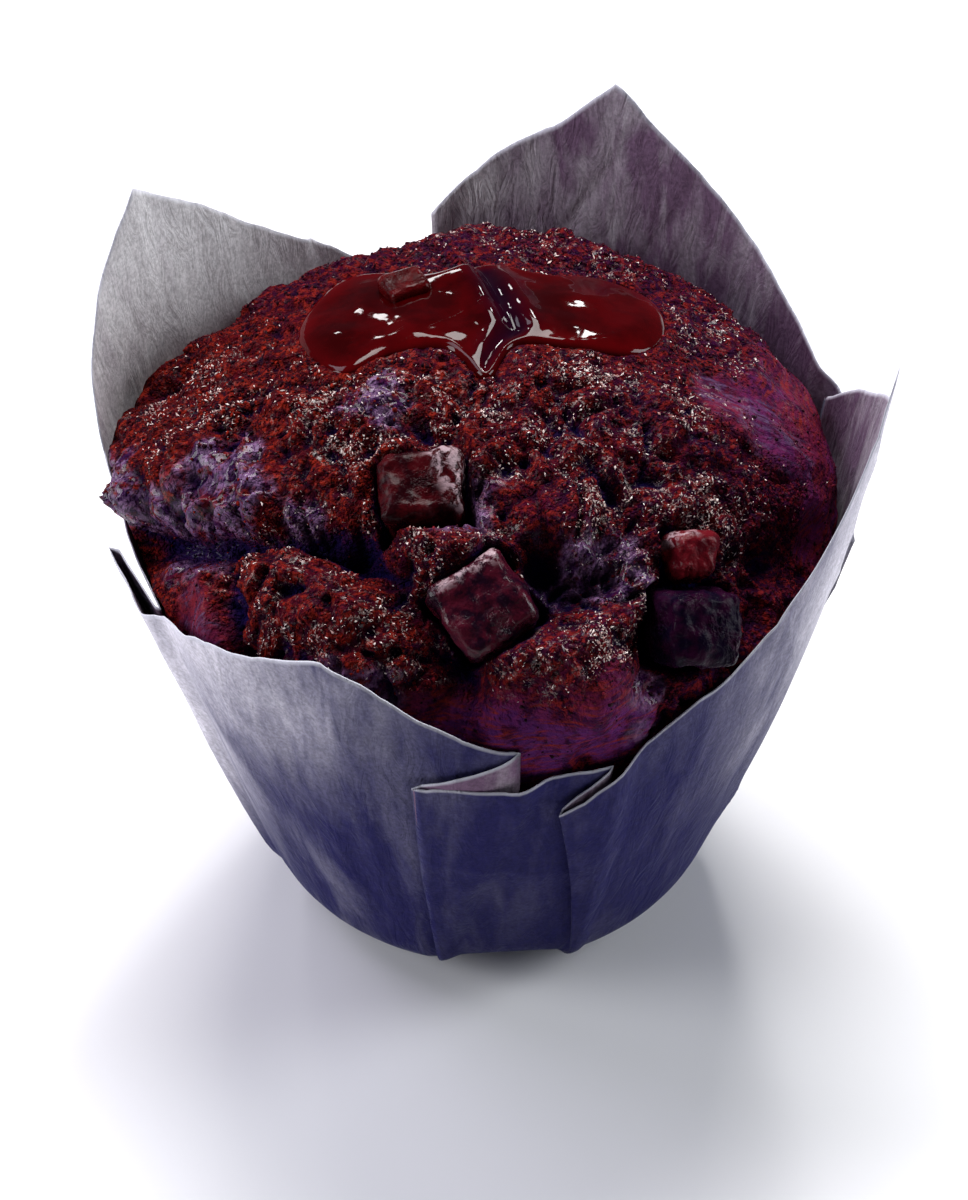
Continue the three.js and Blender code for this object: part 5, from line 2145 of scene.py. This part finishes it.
@dataclass
class Studio:
    """Plain pale floor, soft lights and the camera."""

    elevation: float = 42.0
    distance: float = 420.0
    target: Point = (-0.179, 0.0, 36.705)
    roll: float = -0.0177
    focal_px: float = 3878.5
    frame_px: float = 1200.0
    sensor: float = 36.0
    clip_start: float = 0.01
    floor_half: float = 3.0
    floor_colour: Tuple[float, ...] = (0.9, 0.9, 0.91, 1.0)
    sky_colour: Tuple[float, ...] = (0.72, 0.78, 1.0, 1.0)
    sky_strength: float = 0.06
    aim: Point = (0.0, 0.0, 0.04)
    lamps: Tuple[Lamp, ...] = (
        Lamp("key_box", (0.02, 0.34, 0.66), (0.38, 0.30), 5.6, (1.0, 0.98, 0.97)),
        Lamp("left_box", (-0.62, -0.10, 0.26), (0.25, 0.40), 3.0, (0.96, 0.97, 1.0)),
        Lamp("right_box", (0.62, 0.06, 0.28), (0.25, 0.40), 2.9, (0.93, 0.96, 1.0)),
        Lamp("glint_window", (0.10, 0.44, 0.42), (0.06, 0.08), 0.7, (1.0, 1.0, 1.0)),
        Lamp("glint_window_left", (-0.21, 0.48, 0.33), (0.065, 0.05), 0.25, (1.0, 1.0, 1.0)),
        Lamp("pale_window_left", (-0.38, 0.16, 0.48), (0.30, 0.24), 1.3, (0.88, 0.84, 1.0)),
    )

    def floor(self) -> None:
        """Lays a wide pale floor."""
        mesh = bpy.data.meshes.new("floor")
        side = self.floor_half
        mesh.from_pydata([(-side, -side, 0), (side, -side, 0), (side, side, 0), (-side, side, 0)], [], [(0, 1, 2, 3)])
        material, _, shader = start_material("floor_paint")
        set_values(shader, Base_Color=self.floor_colour, Roughness=0.9, Specular_IOR_Level=0.1)
        mesh.materials.append(material)
        add_object("floor", mesh)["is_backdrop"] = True

    def light(self, lamp: Lamp) -> None:
        """Hangs an area light.

        Args:
            lamp: The light's name, place, size, power and colour.
        """
        data = bpy.data.lights.new(lamp.name, "AREA")
        data.shape = "RECTANGLE"
        data.size, data.size_y = lamp.size
        data.energy = lamp.power
        data.color = lamp.colour
        light = add_object(lamp.name, data)
        light.location = lamp.at
        light.rotation_euler = (Vector(self.aim) - Vector(lamp.at)).to_track_quat("-Z", "Y").to_euler()

    def camera(self) -> None:
        """Stands the camera where the photograph was taken from."""
        up_angle = math.radians(self.elevation)
        target = Vector(self.target)
        back = Vector((0.0, -math.cos(up_angle), math.sin(up_angle)))
        place = target + self.distance * back
        forward = (target - place).normalized()
        right = Vector((1.0, 0.0, 0.0))
        up = right.cross(forward)
        c, s = math.cos(self.roll), math.sin(self.roll)
        level = c * right + s * up
        upright = -s * right + c * up
        data = bpy.data.cameras.new("camera")
        data.sensor_width = self.sensor
        data.lens = self.focal_px * self.sensor / self.frame_px
        data.clip_start = self.clip_start
        camera = add_object("camera", data)
        matrix = Matrix((level, upright, -forward)).transposed().to_4x4()
        matrix.translation = place * MM
        camera.matrix_world = matrix
        bpy.context.scene.camera = camera

    def build(self) -> None:
        """Sets up the floor, the lights, the sky and the camera."""
        self.floor()
        for lamp in self.lamps:
            self.light(lamp)
        world = bpy.data.worlds.new("sky")
        world.use_nodes = True
        sky = world.node_tree.nodes["Background"]
        sky.inputs[0].default_value = self.sky_colour
        sky.inputs[1].default_value = self.sky_strength
        bpy.context.scene.world = world
        bpy.context.scene.view_settings.view_transform = "Standard"
        bpy.context.scene.view_settings.look = "None"
        self.camera()


def chunk_list() -> List[ChocolateChunk]:
    """The five chunks that show, with the same places as the solids.

    Returns:
        The chunks.
    """
    dark = ChunkFinish(
        "dark_chocolate", (0.0085, 0.0012, 0.0060), (0.052, 0.0036, 0.0110), coat=0.20, shine=0.08)
    # Painted shade: a darker navy copy of the chocolate for the chunk at the right, whose faces lie in shade.
    shaded_copy = ChunkFinish(
        "dark_chocolate_shaded", (0.0040, 0.0014, 0.0080), (0.016, 0.0018, 0.0120), (0.05, 0.028, 0.070), 0.05,
        coat=0.02, shine=0.03)
    glossy = ChunkFinish(
        "dark_chocolate_glossy", (0.014, 0.0009, 0.0024), (0.045, 0.0022, 0.0040), (0.14, 0.07, 0.09), 0.04,
        coat=0.06, shine=0.04)
    warm = ChunkFinish(
        "warm_chocolate", (0.052, 0.0018, 0.0050), (0.115, 0.0050, 0.0095), (0.28, 0.16, 0.18), 0.0,
        coat=0.10, shine=0.05)
    sauced = ChunkFinish(
        "sauced_chocolate", (0.030, 0.0004, 0.0010), (0.065, 0.0012, 0.0020), (0.1, 0.01, 0.01), 0.0,
        coat=0.12, shine=0.05)
    return [
        ChocolateChunk(
            "melted_chunk_upper", (-6.2, -17.8), (8.8, 7.2, 7), 3, 8, 0, 1, glossy,
            highlight_side=(0.8, 0.1, 0.6), highlight_from=2.4),
        ChocolateChunk(
            "melted_chunk_middle", (-0.2, -29.4), (9, 8.6, 8), 33, 4, 0.2, 2, dark,
            highlight_side=(-0.45, 0.45, 0.77), highlight_from=3.4),
        ChocolateChunk(
            "melted_chunk_right", (20.6, -27.7), (8.6, 7.4, 7.8), 12, 4, 1.5, 3, shaded_copy,
            highlight_side=(-0.1, 0.6, 0.8), highlight_from=4.1),
        ChocolateChunk(
            "melted_chunk_small", (20.6, -22.2), (5.4, 4.8, 4.8), 10, 4, 0.2, 4, warm,
            taper=0.3, highlight_side=(-0.45, 0.3, 0.8), highlight_from=1.6),
        ChocolateChunk(
            "melted_chunk_in_sauce", (-7.7, 11.6), (5, 4.4, 4), 20, 10, 0.3, 5, sauced, 26, 0.8,
            worn=0.35, highlight_from=9.0),
    ]


def main() -> object:
    """Builds every piece in order.

    Returns:
        Box of the solids.
    """
    logging.basicConfig(level=logging.INFO, format="%(name)s %(message)s")
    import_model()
    solid_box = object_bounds()
    Studio().build()
    case = CaseForm()
    dome = DomeForm(case)
    sauce = SaucePool(dome)
    chunks = chunk_list()
    PaperCase(case).build()
    muffin = MuffinBody(dome, sauce, chunks)
    muffin.build()
    grains = GrainFinish("crumb_grains", (0.009, 0.0007, 0.0052), (0.26, 0.0140, 0.0056), 0.45, 0.02, 2.7).build()
    Sprinkling("crust_grains", muffin.sheet, grains, 9700, 0.08, 0.25, False, 7, sunk=-0.1).build()
    Sprinkling("fine_crust_grains", muffin.sheet, grains, 22000, 0.05, 0.13, True, 23, sunk=0.3).build()
    # Painted highlights: near-white grains, clustered where the crust glistens, stand for glints of light.
    glints = GrainFinish("painted_glint_finish", (0.40, 0.17, 0.15), (1.0, 0.92, 0.86), 0.15, 0.8, violet_shade_share=0.0).build()
    Sprinkling("painted_glint_grains", muffin.sheet, glints, 5000, 0.055, 0.14, True, 11, sunk=0.7, clustered=True).build()
    sauce.build()
    for chunk in chunks:
        chunk.build(dome)
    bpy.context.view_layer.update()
    return solid_box


if __name__ == "__main__":
    main()
